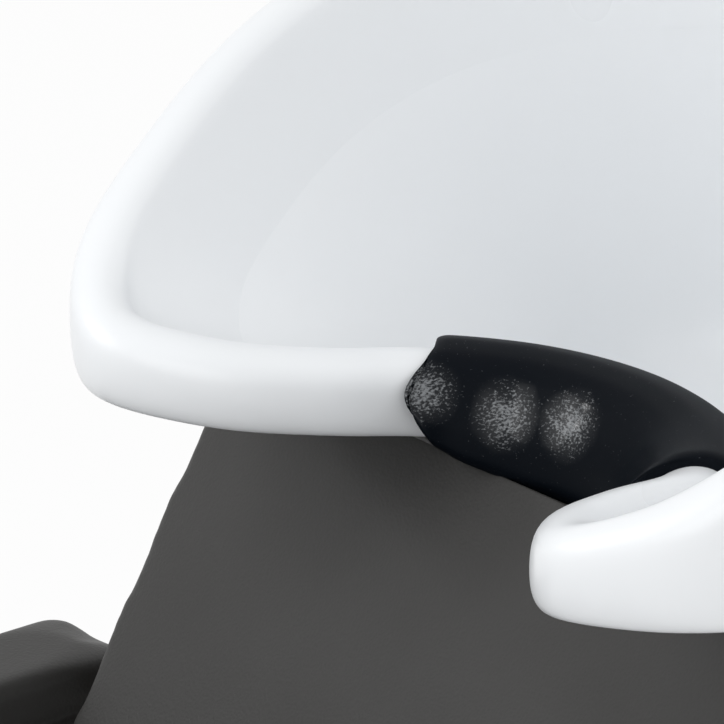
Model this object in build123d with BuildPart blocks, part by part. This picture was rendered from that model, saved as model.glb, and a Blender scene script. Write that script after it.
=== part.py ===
from build123d import *
import os
from math import cos, hypot, radians, sin, tan

# Hair washing bed: a low upholstered lounge with a leg rest, two padded arms and a
# reclined backrest, and a tilting ceramic basin on a pedestal behind it.
# Origin: middle of the footprint on the floor. +Z is up, +Y points from the feet to
# the basin and +X is the right hand of someone who stands at the foot end.

os.makedirs("parts", exist_ok=True)

# Levels above the floor
neck_height = 890.0
arm_height = 678.0
seat_height = 430.0

# Lounge
recline_angle = 60.0
seat_depth = 520.0
seat_width = 554.0
back_width = 500.0
leg_rest_length = 400.0
leg_rest_width = 500.0
cushion_gap = 3.0
back_cushion_depth = 62.0
leg_cushion_depth = 85.0
board_thickness = 18.0
back_top_drop = 50.0
back_lead = 3.0
back_tuck = 60.0
arm_pad_width = 75.0
arm_pad_depth = 40.0
arm_spread = 280.0
arm_rear_setback = 38.0
arm_length = 560.0

# Basin, measured from the neck point at rim level
basin_half_width = 264.0
basin_reach = 400.0
rim_rise = 170.0
skirt_drop = 50.0
deck_width = 90.0
rim_round = 16.0
ceramic_wall = 12.0
bowl_depth = 150.0
bowl_half_width = 205.0
bowl_half_length = 132.0
bowl_middle = 217.0
bowl_waist_drop = 62.0
basin_foot_radius = 85.0
basin_foot_depth = 30.0
basin_foot_growth = 34.0

# Clearances
running_clearance = 0.05
soft_clearance = 0.3
panel_clearance = 1.5
overrun = 40.0

# Places that follow from the sizes above
rim_back_share = 0.9
basin_back = rim_back_share * basin_reach + deck_width / 2
slope = radians(recline_angle)
back_top_y = -back_lead
back_top_z = neck_height - back_top_drop
seat_rear = back_top_y - (back_top_z - seat_height) / tan(slope)
seat_front = seat_rear - seat_depth
leg_front = seat_front - cushion_gap - leg_rest_length
neck_y = -(basin_back + leg_front) / 2


def finish(part, name):
    """Label a finished sub-part and write its file."""
    part.label = name
    export_step(part, f"parts/{name}.step")


def reclined(down, back):
    """Point in the YZ plane from a distance down the backrest and one behind its face."""
    y = neck_y + back_top_y - down * cos(slope) + back * sin(slope)
    z = back_top_z - down * sin(slope) - back * cos(slope)
    return (y, z)


# Rim of the basin: one half from the neck round the wing to the middle of the back
rim_x_shares = (0, 0.21, 0.36, 0.42, 0.51, 0.63, 0.765, 0.895, 0.98, 1.0, 0.91, 0.675, 0.38, 0)
rim_y_shares = (0.125, 0.095, 0.005, -0.14, -0.275, -0.345, -0.3, -0.125, 0.1, 0.325, 0.5625,
                0.78, 0.875, rim_back_share)
rim_z_shares = (0, 0, 0.02, 0.08, 0.155, 0.225, 0.325, 0.57, 0.8, 0.91, 0.95, 0.98, 1.0, 1.0)
roll_width_shares = (0.44, 0.44, 0.44, 0.44, 0.44, 0.4, 0.355, 0.33, 0.33, 0.34, 0.38, 0.66,
                     0.95, 1.0)
skirt_drop_shares = (0.84, 0.84, 0.78, 0.56, 0.32, 0.12, 0.08, 0.16, 0.3, 0.5, 0.8, 0.9, 1.0, 1.0)
bowl_angles = (-90, -76, -62, -51, -43, -36, -30, -22, -10, 6, 26, 50, 70, 90)


def both_sides(values, sign):
    """Full ring of values from one half, mirrored or changed in sign across x = 0."""
    other = [sign * value for value in values[-2:0:-1]]
    return list(values) + other


rim_x = [basin_half_width * share for share in both_sides(rim_x_shares, -1)]
rim_y = [neck_y + basin_reach * share for share in both_sides(rim_y_shares, 1)]
rim_z = [neck_height + rim_rise * share for share in both_sides(rim_z_shares, 1)]
roll_half = [deck_width * share / 2 for share in both_sides(roll_width_shares, 1)]
skirt_low = [neck_height - skirt_drop * share for share in both_sides(skirt_drop_shares, 1)]
bowl_turn = list(bowl_angles) + [180 - turn for turn in bowl_angles[-2:0:-1]]
ring_count = len(rim_x)


def rim_normal(index):
    """Unit vector in plan that points out of the basin at a point of the rim."""
    before, after = (index - 1) % ring_count, (index + 1) % ring_count
    along_x, along_y = rim_x[after] - rim_x[before], rim_y[after] - rim_y[before]
    length = hypot(along_x, along_y)
    return along_y / length, -along_x / length


def rim_ring(width_share, drop):
    """Ring beside the rim's crest: a share of the roll's half width, and a drop."""
    points = []
    for index in range(ring_count):
        out_x, out_y = rim_normal(index)
        step = width_share * roll_half[index]
        points.append((rim_x[index] + step * out_x, rim_y[index] + step * out_y,
                       rim_z[index] - drop))
    return points


def skirt_ring(inset, lift_share, lift):
    """Ring down the skirt, inset from its face, between its lower edge and the crest."""
    points = []
    for index in range(ring_count):
        out_x, out_y = rim_normal(index)
        step = roll_half[index] - inset
        low, high = skirt_low[index], rim_z[index] - rim_round
        points.append((rim_x[index] + step * out_x, rim_y[index] + step * out_y,
                       low + (high - low) * lift_share + lift))
    return points


def bowl_ring(size_share, height_share, growth, drop):
    """Ring of the lower bowl, from the waist oval down to the drain."""
    points = []
    for turn in bowl_turn:
        angle = radians(turn)
        across = (bowl_half_width * size_share + growth) * cos(angle)
        along = (bowl_half_length * size_share + growth) * sin(angle)
        depth = bowl_waist_drop + (bowl_depth - bowl_waist_drop) * (1 - height_share)
        points.append((across, neck_y + bowl_middle + along, neck_height - depth - drop))
    return points


def wall_ring(upper, lower, share, fall_share):
    """Ring on the wall between two rings: a share across and a share of the height."""
    points = []
    for (x0, y0, z0), (x1, y1, z1) in zip(lower, upper):
        points.append((x0 + (x1 - x0) * share, y0 + (y1 - y0) * share, z0 + (z1 - z0) * fall_share))
    return points


def shifted(ring, growth, drop):
    """Ring moved outward in plan and down, as the outside of a wall of its thickness."""
    points = []
    for index, (x, y, z) in enumerate(ring):
        before, after = ring[index - 1], ring[(index + 1) % ring_count]
        along_x, along_y = after[0] - before[0], after[1] - before[1]
        length = hypot(along_x, along_y)
        points.append((x + growth * along_y / length, y - growth * along_x / length, z - drop))
    return points


def ring_wire(points):
    return Wire([Edge.make_spline([Vector(*point) for point in points], periodic=True)])


# Basin: inside of the bowl, over the rolled rim, down the skirt and back to the foot
drain_radius = 32.0
drain_bore = 24.0
drain_seat_depth = 4.0
bowl_steps = 4
wall_shares = (0.35, 0.7, 0.92)
wall_fall_power = 1.5
roll_steps = 3
skirt_middle_share = 0.45
cavity_share = 0.9
rim_inner = rim_ring(-1, rim_round)
waist_inner = bowl_ring(1, 1, 0, 0)
edge_round = ceramic_wall / 3


def bowl_rings(growth, drop):
    """Rings of the lower bowl, on a quarter ellipse from near the drain up to the waist."""
    rings = []
    for step in range(1, bowl_steps + 1):
        angle = radians(90 * step / bowl_steps)
        rings.append(bowl_ring(sin(angle), 1 - cos(angle), growth, drop))
    return rings


def upper_wall(share):
    """Ring of the upper wall, which hollows as it falls from the rim to the waist."""
    return wall_ring(rim_inner, waist_inner, share, share ** wall_fall_power)


inner_rings = bowl_rings(0, 0) + [upper_wall(share) for share in wall_shares]
roll_turns = [radians(90 * step / roll_steps) for step in range(-roll_steps, roll_steps + 1)]
roll_rings = [rim_ring(sin(turn), rim_round * (1 - cos(turn))) for turn in roll_turns]
skirt_rings = [
    skirt_ring(0, skirt_middle_share, 0),
    skirt_ring(edge_round / 2, 0, edge_round),
    skirt_ring(ceramic_wall / 2, 0, 0),
    skirt_ring(ceramic_wall - edge_round / 2, 0, edge_round),
    skirt_ring(ceramic_wall, skirt_middle_share, 0),
    skirt_ring(ceramic_wall, cavity_share, 0),
]
outer_rings = [shifted(upper_wall(share), ceramic_wall, ceramic_wall)
               for share in reversed(wall_shares)]
outer_rings += reversed(bowl_rings(ceramic_wall, ceramic_wall)[1:])
outer_rings += [bowl_ring(sin(radians(90 / bowl_steps)), 1 - cos(radians(90 / bowl_steps)),
                          basin_foot_growth, ceramic_wall)]


def level_circle(radius, height):
    """Circle round the drain with the same turns as the rings above it."""
    points = []
    for turn in bowl_turn:
        angle = radians(turn)
        points.append((radius * cos(angle), neck_y + bowl_middle + radius * sin(angle), height))
    return points


drain_level = neck_height - bowl_depth
foot_level = drain_level - basin_foot_depth
basin_rings = [level_circle(drain_radius, drain_level)] + inner_rings + roll_rings
basin_rings += skirt_rings + outer_rings + [level_circle(basin_foot_radius, foot_level)]
basin_blank = Solid.make_loft([ring_wire(ring) for ring in basin_rings], ruled=True)

# Fittings of the basin: tap and spray holes in the rear deck, waste hole in the foot
deck_y = neck_y + rim_back_share * basin_reach
deck_level = neck_height + rim_rise
tap_seat_depth = 4.0
tap_seat_radius = 30.0
tap_hole_radius = 17.5
spray_seat_radius = 26.0
spray_hole_radius = 14.0
spray_offset = 105.0
spray_inset = 8.0
deck_plate = 30.0
tap_nut_radius = 24.0
spray_nut_radius = 20.0
nut_clearance = 2.0
bolt_radius = 4.0
bolt_clearance = 0.5
foot_bolt_circle = 62.0
foot_bolt_depth = 14.0
spray_y = deck_y - spray_inset
drain_y = neck_y + bowl_middle
seat_level = deck_level - tap_seat_depth
with BuildPart() as basin:
    add(basin_blank)
    with BuildSketch(Plane.XY.offset(drain_level - drain_seat_depth)):
        with Locations((0, drain_y)):
            Circle(drain_radius - edge_round / 2)
    extrude(amount=drain_seat_depth + edge_round, mode=Mode.SUBTRACT)
    with BuildSketch(Plane.XY.offset(foot_level - overrun)):
        with Locations((0, drain_y)):
            Circle(drain_bore)
    extrude(amount=overrun + basin_foot_depth, mode=Mode.SUBTRACT)
    with BuildSketch(Plane.XY.offset(foot_level)):
        with Locations((0, drain_y)):
            with PolarLocations(foot_bolt_circle, 4, start_angle=45):
                Circle(bolt_radius + bolt_clearance)
    extrude(amount=foot_bolt_depth, mode=Mode.SUBTRACT)
    with BuildSketch(Plane.XY.offset(seat_level)):
        with Locations((0, deck_y)):
            Circle(tap_seat_radius)
        with Locations((spray_offset, spray_y)):
            Circle(spray_seat_radius)
    extrude(amount=overrun, mode=Mode.SUBTRACT)
    with BuildSketch(Plane.XY.offset(seat_level - deck_plate)):
        with Locations((0, deck_y)):
            Circle(tap_nut_radius + nut_clearance)
        with Locations((spray_offset, spray_y)):
            Circle(spray_nut_radius + nut_clearance)
    extrude(amount=-overrun, mode=Mode.SUBTRACT)
    with BuildSketch(Plane.XY.offset(seat_level - 2 * overrun)):
        with Locations((0, deck_y)):
            Circle(tap_hole_radius)
        with Locations((spray_offset, spray_y)):
            Circle(spray_hole_radius)
    extrude(amount=3 * overrun, mode=Mode.SUBTRACT)
finish(basin.part, "basin")

# Neck rest: a soft channel that hugs the rim between the wings
rest_inside_shares = ((-1.02, -1.1), (-1, -0.9), (-0.8, -0.3), (0, 0.05), (0.8, -0.3), (1, -0.9),
                      (1.02, -2.55))
rest_outside_shares = ((-1.3, -1.15), (-1.4, -0.85), (-1.05, 0.1), (0, 0.58), (0.9, 0.18),
                       (1.5, -0.85), (1.9, -1.95), (1.85, -2.75), (1.5, -3.1))
rest_stations = 17
rest_clearance = 3.0
rim_edge = Edge.make_spline([Vector(*point) for point in rim_ring(0, 0)], periodic=True)
rest_end = rim_edge.param_at_point(Vector(rim_x[2], rim_y[2], rim_z[2]))
neck_roll = roll_half[0]


def rest_plane(share):
    """Plane across the rim at a share from the left end (-1) to the right end (1)."""
    place, side = abs(share) * rest_end, -1 if share < 0 else 1
    spot, along = rim_edge.position_at(place), rim_edge.tangent_at(place)
    forward = Vector(along.X, side * along.Y, 0).normalized()
    outward = Vector(forward.Y, -forward.X, 0)
    return Plane(origin=(side * spot.X, spot.Y, spot.Z), x_dir=outward, z_dir=-forward)


with BuildPart() as neck_rest:
    for station in range(rest_stations):
        end_share = -1 + 2 * station / (rest_stations - 1)
        with BuildSketch(rest_plane(end_share)):
            with BuildLine():
                inside = Spline(*[(a * (neck_roll + rest_clearance), b * rim_round + soft_clearance)
                                  for a, b in rest_inside_shares])
                outside = Spline(*[(a * neck_roll, b * rim_round) for a, b in rest_outside_shares])
                Line(inside @ 0, outside @ 0)
                Line(inside @ 1, outside @ 1)
            make_face()
    loft()
finish(neck_rest.part, "neck_rest")


def slab(x_span, y_span, z_span, corner):
    """Upright block with rounded corners in plan."""
    (x0, x1), (y0, y1), (z0, z1) = x_span, y_span, z_span
    with BuildPart() as block:
        with BuildSketch(Plane.XY.offset(z0)):
            with Locations(((x0 + x1) / 2, (y0 + y1) / 2)):
                RectangleRounded(x1 - x0, y1 - y0, corner)
        extrude(amount=z1 - z0)
    return block.part


def side_profile(points, width, middle=0):
    """Solid of a YZ outline, drawn across the bed about a middle."""
    with BuildPart() as block:
        with BuildSketch(Plane.YZ.offset(middle - width / 2)):
            with BuildLine():
                Polyline(*points, close=True)
            make_face()
        extrude(amount=width)
    return block.part


# Seat: board, crowned cushion and the steel frame under them
cushion_round = 22.0
cushion_crown = 9.0
cushion_edge = 14.0
seat_board_top = seat_height - 103.0
seat_board_bottom = seat_board_top - board_thickness
seat_y0 = neck_y + seat_front
seat_y1 = neck_y + seat_rear


def leaning_y(back, z):
    """Y of a plane parallel to the backrest's face, a distance behind it, at a level."""
    return neck_y + back_top_y + back / sin(slope) - (back_top_z - z) / tan(slope)


def crowned(front, rear_low, rear_high, bottom, top, width):
    """Cushion with a crowned top, drawn in to its board and rounded round its upper edges."""
    shoulder = top - cushion_crown
    with BuildPart() as pad:
        with BuildSketch(Plane.YZ.offset(-width / 2)):
            with BuildLine():
                base = Line((front + cushion_draw, bottom), (rear_low, bottom))
                rear = Line(base @ 1, (rear_high, shoulder))
                crown = ThreePointArc(rear @ 1, ((front + rear_high) / 2, top), (front, shoulder))
                Polyline(crown @ 1, (front, (bottom + top) / 2), base @ 0)
            make_face()
        extrude(amount=width)
        fillet(pad.edges().filter_by(Axis.X).group_by(Axis.Z)[-1], cushion_round)
        for end in (pad.faces().sort_by(Axis.X)[0], pad.faces().sort_by(Axis.X)[-1]):
            fillet(end.edges().filter_by(lambda edge: edge.center().Z > bottom + cushion_edge),
                   cushion_edge)
    return pad.part


cushion_draw = 6.0
seat_back_gap = cushion_gap + cushion_crown
seat_cushion = crowned(seat_y0, leaning_y(0, seat_board_top) - seat_back_gap,
                       seat_y1 - seat_back_gap, seat_board_top, seat_height, seat_width)
finish(seat_cushion, "seat_cushion")

board_inset = 6.0
board_corner = 20.0
back_stack = back_cushion_depth + board_thickness
bar_thickness = 8.0
bar_width = 40.0
bar_spread = 140.0
tube = 40.0
rail_height = 30.0
frame_outer = arm_spread + board_inset / 2
bar_foot_y = leaning_y(back_stack, seat_board_bottom)
seat_board = slab((-seat_width / 2 + board_inset, seat_width / 2 - board_inset),
                  (seat_y0 + cushion_gap, bar_foot_y - board_inset),
                  (seat_board_bottom, seat_board_top), board_corner)
finish(seat_board, "seat_board")

# Backrest: cushion, board and the two bars that carry them
back_length = (back_top_z - seat_height) / sin(slope) + back_tuck
back_round = 14.0
back_edge = 8.0
back_crown = 5.0
board_start = 120.0
with BuildPart() as back_cushion:
    with BuildSketch(Plane.YZ.offset(-back_width / 2)):
        with BuildLine():
            face = ThreePointArc(reclined(0, 0), reclined(back_length / 2, -back_crown),
                                 reclined(back_length, 0))
            Polyline(face @ 1, reclined(back_length, back_cushion_depth),
                     reclined(0, back_cushion_depth), face @ 0)
        make_face()
    extrude(amount=back_width)
    fillet(back_cushion.edges().filter_by(Axis.X).sort_by(Axis.Y)[:2], back_round)
    for end in (back_cushion.faces().sort_by(Axis.X)[0], back_cushion.faces().sort_by(Axis.X)[-1]):
        fillet(end.edges(), back_edge)
finish(back_cushion.part, "back_cushion")

back_board = side_profile([reclined(board_start, back_cushion_depth),
                           reclined(back_length - board_inset, back_cushion_depth),
                           reclined(back_length - board_inset, back_stack),
                           reclined(board_start, back_stack)], back_width - 2 * board_inset)
finish(back_board, "back_board")

bar_start = 150.0
bar_back = back_stack + bar_thickness
bar_outline = [reclined(bar_start, back_stack), (bar_foot_y, seat_board_bottom),
               (leaning_y(bar_back, seat_board_bottom), seat_board_bottom),
               reclined(bar_start, bar_back)]
with BuildPart() as back_bars:
    for side in (-1, 1):
        with BuildSketch(Plane.YZ.offset(side * bar_spread - bar_width / 2)):
            with BuildLine():
                Polyline(*bar_outline, close=True)
            make_face()
        extrude(amount=bar_width)
finish(back_bars.part, "back_bars")

# Steel frame: seat rails and crossbars on four posts, over two floor rails
foot_height = 25.0
base_height = 30.0
base_rail_width = 50.0
base_top = foot_height + base_height
rail_bottom = seat_board_bottom - rail_height
front_post_y = seat_y0 + 80.0
rear_post_y = bar_foot_y - tube
column_size = 80.0
column_wall = 4.0
column_top = 600.0
column_front = drain_y - column_size / 2
rail_front = front_post_y - tube
post_x = frame_outer - tube / 2
seat_rails_x = frame_outer - tube / 2

with BuildPart() as seat_rails:
    with BuildSketch(Plane.XY.offset(rail_bottom)):
        with Locations((-seat_rails_x, (rail_front + rear_post_y + tube) / 2),
                       (seat_rails_x, (rail_front + rear_post_y + tube) / 2)):
            Rectangle(tube, rear_post_y + tube - rail_front)
    extrude(amount=rail_height)
finish(seat_rails.part, "seat_rails")

with BuildPart() as seat_crossbars:
    with BuildSketch(Plane.XY.offset(rail_bottom)):
        with Locations((0, front_post_y), (0, rear_post_y + tube / 2)):
            Rectangle(2 * (frame_outer - tube), tube)
    extrude(amount=rail_height)
finish(seat_crossbars.part, "seat_crossbars")

with BuildPart() as seat_posts:
    with BuildSketch(Plane.XY.offset(base_top)):
        with Locations((-post_x, front_post_y), (post_x, front_post_y), (-post_x, rear_post_y),
                       (post_x, rear_post_y)):
            RectangleRounded(tube, tube, tube / 8)
    extrude(amount=rail_bottom - base_top)
finish(seat_posts.part, "seat_posts")

base_rail_x = frame_outer - base_rail_width / 2
foot_stem = 5.0
foot_pad = 20.0
foot_taper = 15
foot_pad_height = 8.0
foot_nut = 11.0
foot_nut_height = 6.0
foot_inset = 30.0
stem_depth = 20.0
foot_rows = (rail_front + foot_inset, (rail_front + column_front) / 2, column_front - foot_inset)
foot_places = [(side * base_rail_x, row) for side in (-1, 1) for row in foot_rows]
for side, name in ((-1, "left_base_rail"), (1, "right_base_rail")):
    with BuildPart() as base_rail:
        with BuildSketch(Plane.XY.offset(foot_height)):
            with Locations((side * base_rail_x, (rail_front + column_front) / 2)):
                Rectangle(base_rail_width, column_front - rail_front)
        extrude(amount=base_height)
        with BuildSketch(Plane.XY.offset(foot_height)):
            with Locations(*[place for place in foot_places if place[0] * side > 0]):
                Circle(foot_stem + bolt_clearance)
        extrude(amount=stem_depth, mode=Mode.SUBTRACT)
    finish(base_rail.part, name)

base_bar_y = (front_post_y, rear_post_y, column_front - tube / 2)
with BuildPart() as base_crossbars:
    with BuildSketch(Plane.XY.offset(foot_height)):
        with Locations(*[(0, y) for y in base_bar_y]):
            Rectangle(2 * (frame_outer - base_rail_width), tube)
    extrude(amount=base_height)
finish(base_crossbars.part, "base_crossbars")

with BuildPart() as levelling_feet:
    for x, y in foot_places:
        with BuildSketch(Plane.XY):
            with Locations((x, y)):
                Circle(foot_pad)
        extrude(amount=foot_pad_height, taper=foot_taper)
        with BuildSketch(Plane.XY.offset(foot_pad_height)):
            with Locations((x, y)):
                Circle(foot_stem)
        extrude(amount=foot_height - foot_pad_height + stem_depth - bolt_clearance)
        with BuildSketch(Plane.XY.offset(foot_height - foot_nut_height)):
            with Locations((x, y)):
                RegularPolygon(foot_nut, 6)
        extrude(amount=foot_nut_height)
finish(levelling_feet.part, "levelling_feet")

# Arms: side panel, recessed cap board and padded top
arm_cap_depth = 8.0
arm_cap_inset = 7.0
panel_foot = 40.0
panel_toe = 35.0
arm_pad_corner = 20.0
arm_pad_round = 12.0
panel_round = 6.0
shoulder_drop = 90.0
arm_y1 = neck_y - arm_rear_setback
arm_y0 = arm_y1 - arm_length
arm_pad_bottom = arm_height - arm_pad_depth
panel_top = arm_pad_bottom - arm_cap_depth
panel_width = arm_pad_width - board_inset
panel_x = arm_spread + arm_pad_width / 2
panel_shoulder = seat_height - shoulder_drop
panel_sweep = 60.0
panel_outline = [(arm_y1, panel_foot), (seat_y0 + panel_toe, panel_foot),
                 (seat_y0 + board_inset, panel_shoulder), (arm_y0 - panel_sweep, panel_shoulder),
                 (arm_y0 + board_inset, panel_top), (arm_y1, panel_top)]
panel_corner = 45.0
for side, word in ((-1, "left"), (1, "right")):
    with BuildPart() as arm_panel:
        with BuildSketch(Plane.YZ.offset(side * panel_x - panel_width / 2)) as outline:
            with BuildLine():
                Polyline(*panel_outline, close=True)
            make_face()
            fillet(outline.vertices().sort_by(Axis.X)[:3], panel_corner)
        extrude(amount=panel_width)
        outer = arm_panel.faces().sort_by(Axis.X)[0 if side < 0 else -1]
        fillet(outer.edges(), panel_round)
    finish(arm_panel.part, f"{word}_arm_panel")
    arm_cap = slab((side * panel_x - panel_width / 2 + arm_cap_inset,
                    side * panel_x + panel_width / 2 - arm_cap_inset),
                   (arm_y0 + 2 * arm_cap_inset, arm_y1 - arm_cap_inset), (panel_top, arm_pad_bottom),
                   arm_pad_corner / 2)
    finish(arm_cap, f"{word}_arm_cap")
    with BuildPart() as arm_pad:
        with BuildSketch(Plane.XY.offset(arm_pad_bottom)):
            with Locations((side * panel_x, (arm_y0 + arm_y1) / 2)):
                RectangleRounded(arm_pad_width, arm_length, arm_pad_corner)
        extrude(amount=arm_pad_depth)
        fillet(arm_pad.faces().sort_by(Axis.Z)[-1].edges(), arm_pad_round)
    finish(arm_pad.part, f"{word}_arm_pad")

apron_thickness = 8.0
apron_y = front_post_y - tube / 2 - apron_thickness
front_apron = slab((-frame_outer, frame_outer), (apron_y, apron_y + apron_thickness),
                   (base_top, rail_bottom), apron_thickness / 4)
finish(front_apron, "front_apron")

# Leg rest: board and cushion on two arms, which turn on pins in lugs under the seat
pin_radius = 6.0
lug_radius = 14.0
lug_thickness = 6.0
lug_x = 150.0
lug_gap = 1.0
lug_reach = 58.0
lug_drop = 13.0
arm_reach = 260.0
arm_tip = 14.0
pivot_y = seat_y0 - 2 * cushion_gap
pivot_z = seat_board_bottom - lug_drop
leg_y0 = neck_y + leg_front
leg_y1 = seat_y0 - cushion_gap
leg_board_top = seat_height - leg_cushion_depth
leg_board_bottom = leg_board_top - board_thickness
leg_cushion = crowned(leg_y0, leg_y1 - cushion_draw, leg_y1, leg_board_top, seat_height,
                      leg_rest_width)
finish(leg_cushion, "leg_rest_cushion")
leg_board = slab((-leg_rest_width / 2 + 2 * board_inset, leg_rest_width / 2 - 2 * board_inset),
                 (leg_y0 + 2 * board_inset, leg_y1 - cushion_gap),
                 (leg_board_bottom, leg_board_top), board_corner)
finish(leg_board, "leg_rest_board")


def lug_plate(points, x0):
    """Plate with a round end on the pivot, bored for the pin."""
    with BuildPart() as plate:
        with BuildSketch(Plane.YZ.offset(x0)):
            with BuildLine():
                Polyline(*points, close=True)
            make_face()
            with Locations((pivot_y, pivot_z)):
                Circle(lug_radius)
                Circle(pin_radius + running_clearance, mode=Mode.SUBTRACT)
        extrude(amount=lug_thickness)
    return plate.part


seat_lug_points = [(pivot_y, pivot_z - lug_radius), (pivot_y, pivot_z),
                   (seat_y0 + 2 * cushion_gap, seat_board_bottom),
                   (seat_y0 + lug_reach, seat_board_bottom)]
leg_arm_points = [(pivot_y - lug_radius, leg_board_bottom), (pivot_y - lug_radius, pivot_z),
                  (pivot_y, pivot_z - lug_radius), (pivot_y - arm_reach, leg_board_bottom - arm_tip),
                  (pivot_y - arm_reach, leg_board_bottom)]
for points, name, offset_x in ((seat_lug_points, "seat_lugs", 0),
                               (leg_arm_points, "leg_rest_arms", lug_thickness + lug_gap)):
    with BuildPart() as plates:
        for side in (-1, 1):
            start = side * (lug_x + offset_x) - lug_thickness / 2
            add(lug_plate(points, start))
    finish(plates.part, name)

pin_head = 9.0
pin_head_length = 4.0
with BuildPart() as hinge_pins:
    for side in (-1, 1):
        inner = lug_x - lug_thickness / 2 - lug_gap / 2
        reach = 2 * lug_thickness + 2 * lug_gap
        with BuildSketch(Plane.YZ.offset(side * inner)):
            with Locations((pivot_y, pivot_z)):
                Circle(pin_radius)
        extrude(amount=side * reach)
        for end in (inner - pin_head_length, inner + reach):
            with BuildSketch(Plane.YZ.offset(side * end)):
                with Locations((pivot_y, pivot_z)):
                    Circle(pin_head)
            extrude(amount=side * pin_head_length)
finish(hinge_pins.part, "hinge_pins")

# Column: floor plate, square tube and the head that carries the basin
plate_size = 230.0
plate_thickness = 10.0
floor_hole = 6.0
floor_hole_spacing = 180.0
head_width = 140.0
head_depth = 110.0
head_thickness = 8.0
head_hole = 30.0
tilt_drop = 225.0
ear_spread = 62.0
ear_radius = 20.0
ear_thickness = 6.0
ear_gap = 2.0
tilt_z = neck_height - tilt_drop
with BuildPart() as column_plate:
    with BuildSketch(Plane.XY):
        with Locations((0, drain_y)):
            RectangleRounded(plate_size, plate_size, board_corner)
            with GridLocations(floor_hole_spacing, floor_hole_spacing, 2, 2):
                Circle(floor_hole, mode=Mode.SUBTRACT)
    extrude(amount=plate_thickness)
finish(column_plate.part, "column_plate")

with BuildPart() as column:
    with BuildSketch(Plane.XY.offset(plate_thickness)):
        with Locations((0, drain_y)):
            RectangleRounded(column_size, column_size, 2 * column_wall)
            RectangleRounded(column_size - 2 * column_wall, column_size - 2 * column_wall,
                             column_wall, mode=Mode.SUBTRACT)
    extrude(amount=column_top - plate_thickness)
finish(column.part, "column")

with BuildPart() as tilt_head:
    with BuildSketch(Plane.XY.offset(column_top)):
        with Locations((0, drain_y)):
            RectangleRounded(head_width, head_depth, board_corner / 2)
            Circle(head_hole, mode=Mode.SUBTRACT)
    extrude(amount=head_thickness)
    for side in (-1, 1):
        with BuildSketch(Plane.YZ.offset(side * ear_spread)):
            with Locations((drain_y, tilt_z)):
                Circle(ear_radius)
            with BuildLine():
                Polyline((drain_y - head_depth / 2, column_top), (drain_y - ear_radius, tilt_z),
                         (drain_y + ear_radius, tilt_z), (drain_y + head_depth / 2, column_top),
                         close=True)
            make_face()
            with Locations((drain_y, tilt_z)):
                Circle(pin_radius + running_clearance, mode=Mode.SUBTRACT)
        extrude(amount=side * ear_thickness)
finish(tilt_head.part, "tilt_head")

# Tilting cradle under the basin, its pins and bolts
cradle_size = 160.0
cradle_thickness = 6.0
cradle_hole = 40.0
cradle_ear_x = ear_spread - ear_gap - ear_thickness
cradle_width = 2 * (cradle_ear_x + ear_thickness)
cradle_bottom = foot_level - cradle_thickness
with BuildPart() as cradle:
    with BuildSketch(Plane.XY.offset(cradle_bottom)):
        with Locations((0, drain_y)):
            RectangleRounded(cradle_width, cradle_size, board_corner / 2)
            Circle(cradle_hole, mode=Mode.SUBTRACT)
            with PolarLocations(foot_bolt_circle, 4, start_angle=45):
                Circle(bolt_radius + bolt_clearance, mode=Mode.SUBTRACT)
    extrude(amount=cradle_thickness)
    for side in (-1, 1):
        with BuildSketch(Plane.YZ.offset(side * cradle_ear_x)):
            with Locations((drain_y, tilt_z)):
                Circle(ear_radius)
            with Locations((drain_y, (tilt_z + cradle_bottom) / 2)):
                Rectangle(2 * ear_radius, cradle_bottom - tilt_z)
            with Locations((drain_y, tilt_z)):
                Circle(pin_radius + running_clearance, mode=Mode.SUBTRACT)
        extrude(amount=side * ear_thickness)
finish(cradle.part, "basin_cradle")

bolt_head = 7.5
bolt_head_height = 5.0
bolt_grip = 10.0
with BuildPart() as cradle_bolts:
    with Locations((0, drain_y)):
        with PolarLocations(foot_bolt_circle, 4, start_angle=45):
            with Locations((0, 0, cradle_bottom - bolt_head_height)):
                Cylinder(bolt_head, bolt_head_height, align=(Align.CENTER, Align.CENTER, Align.MIN))
            with Locations((0, 0, cradle_bottom)):
                Cylinder(bolt_radius, cradle_thickness + bolt_grip,
                         align=(Align.CENTER, Align.CENTER, Align.MIN))
finish(cradle_bolts.part, "cradle_bolts")

lever_hub = 12.0
lever_hub_width = 12.0
lever_start = ear_spread + ear_thickness + soft_clearance
pin_inner = cradle_ear_x - ear_gap / 2
with BuildPart() as pivot_pins:
    for side in (-1, 1):
        outer_end = lever_start + lever_hub_width + soft_clearance if side > 0 else lever_start
        with BuildSketch(Plane.YZ.offset(side * pin_inner)):
            with Locations((drain_y, tilt_z)):
                Circle(pin_radius)
        extrude(amount=side * (outer_end - pin_inner))
        for start, amount in ((pin_inner, -pin_head_length), (outer_end, pin_head_length)):
            with BuildSketch(Plane.YZ.offset(side * start)):
                with Locations((drain_y, tilt_z)):
                    Circle(pin_head)
            extrude(amount=side * amount)
finish(pivot_pins.part, "pivot_pins")

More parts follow.
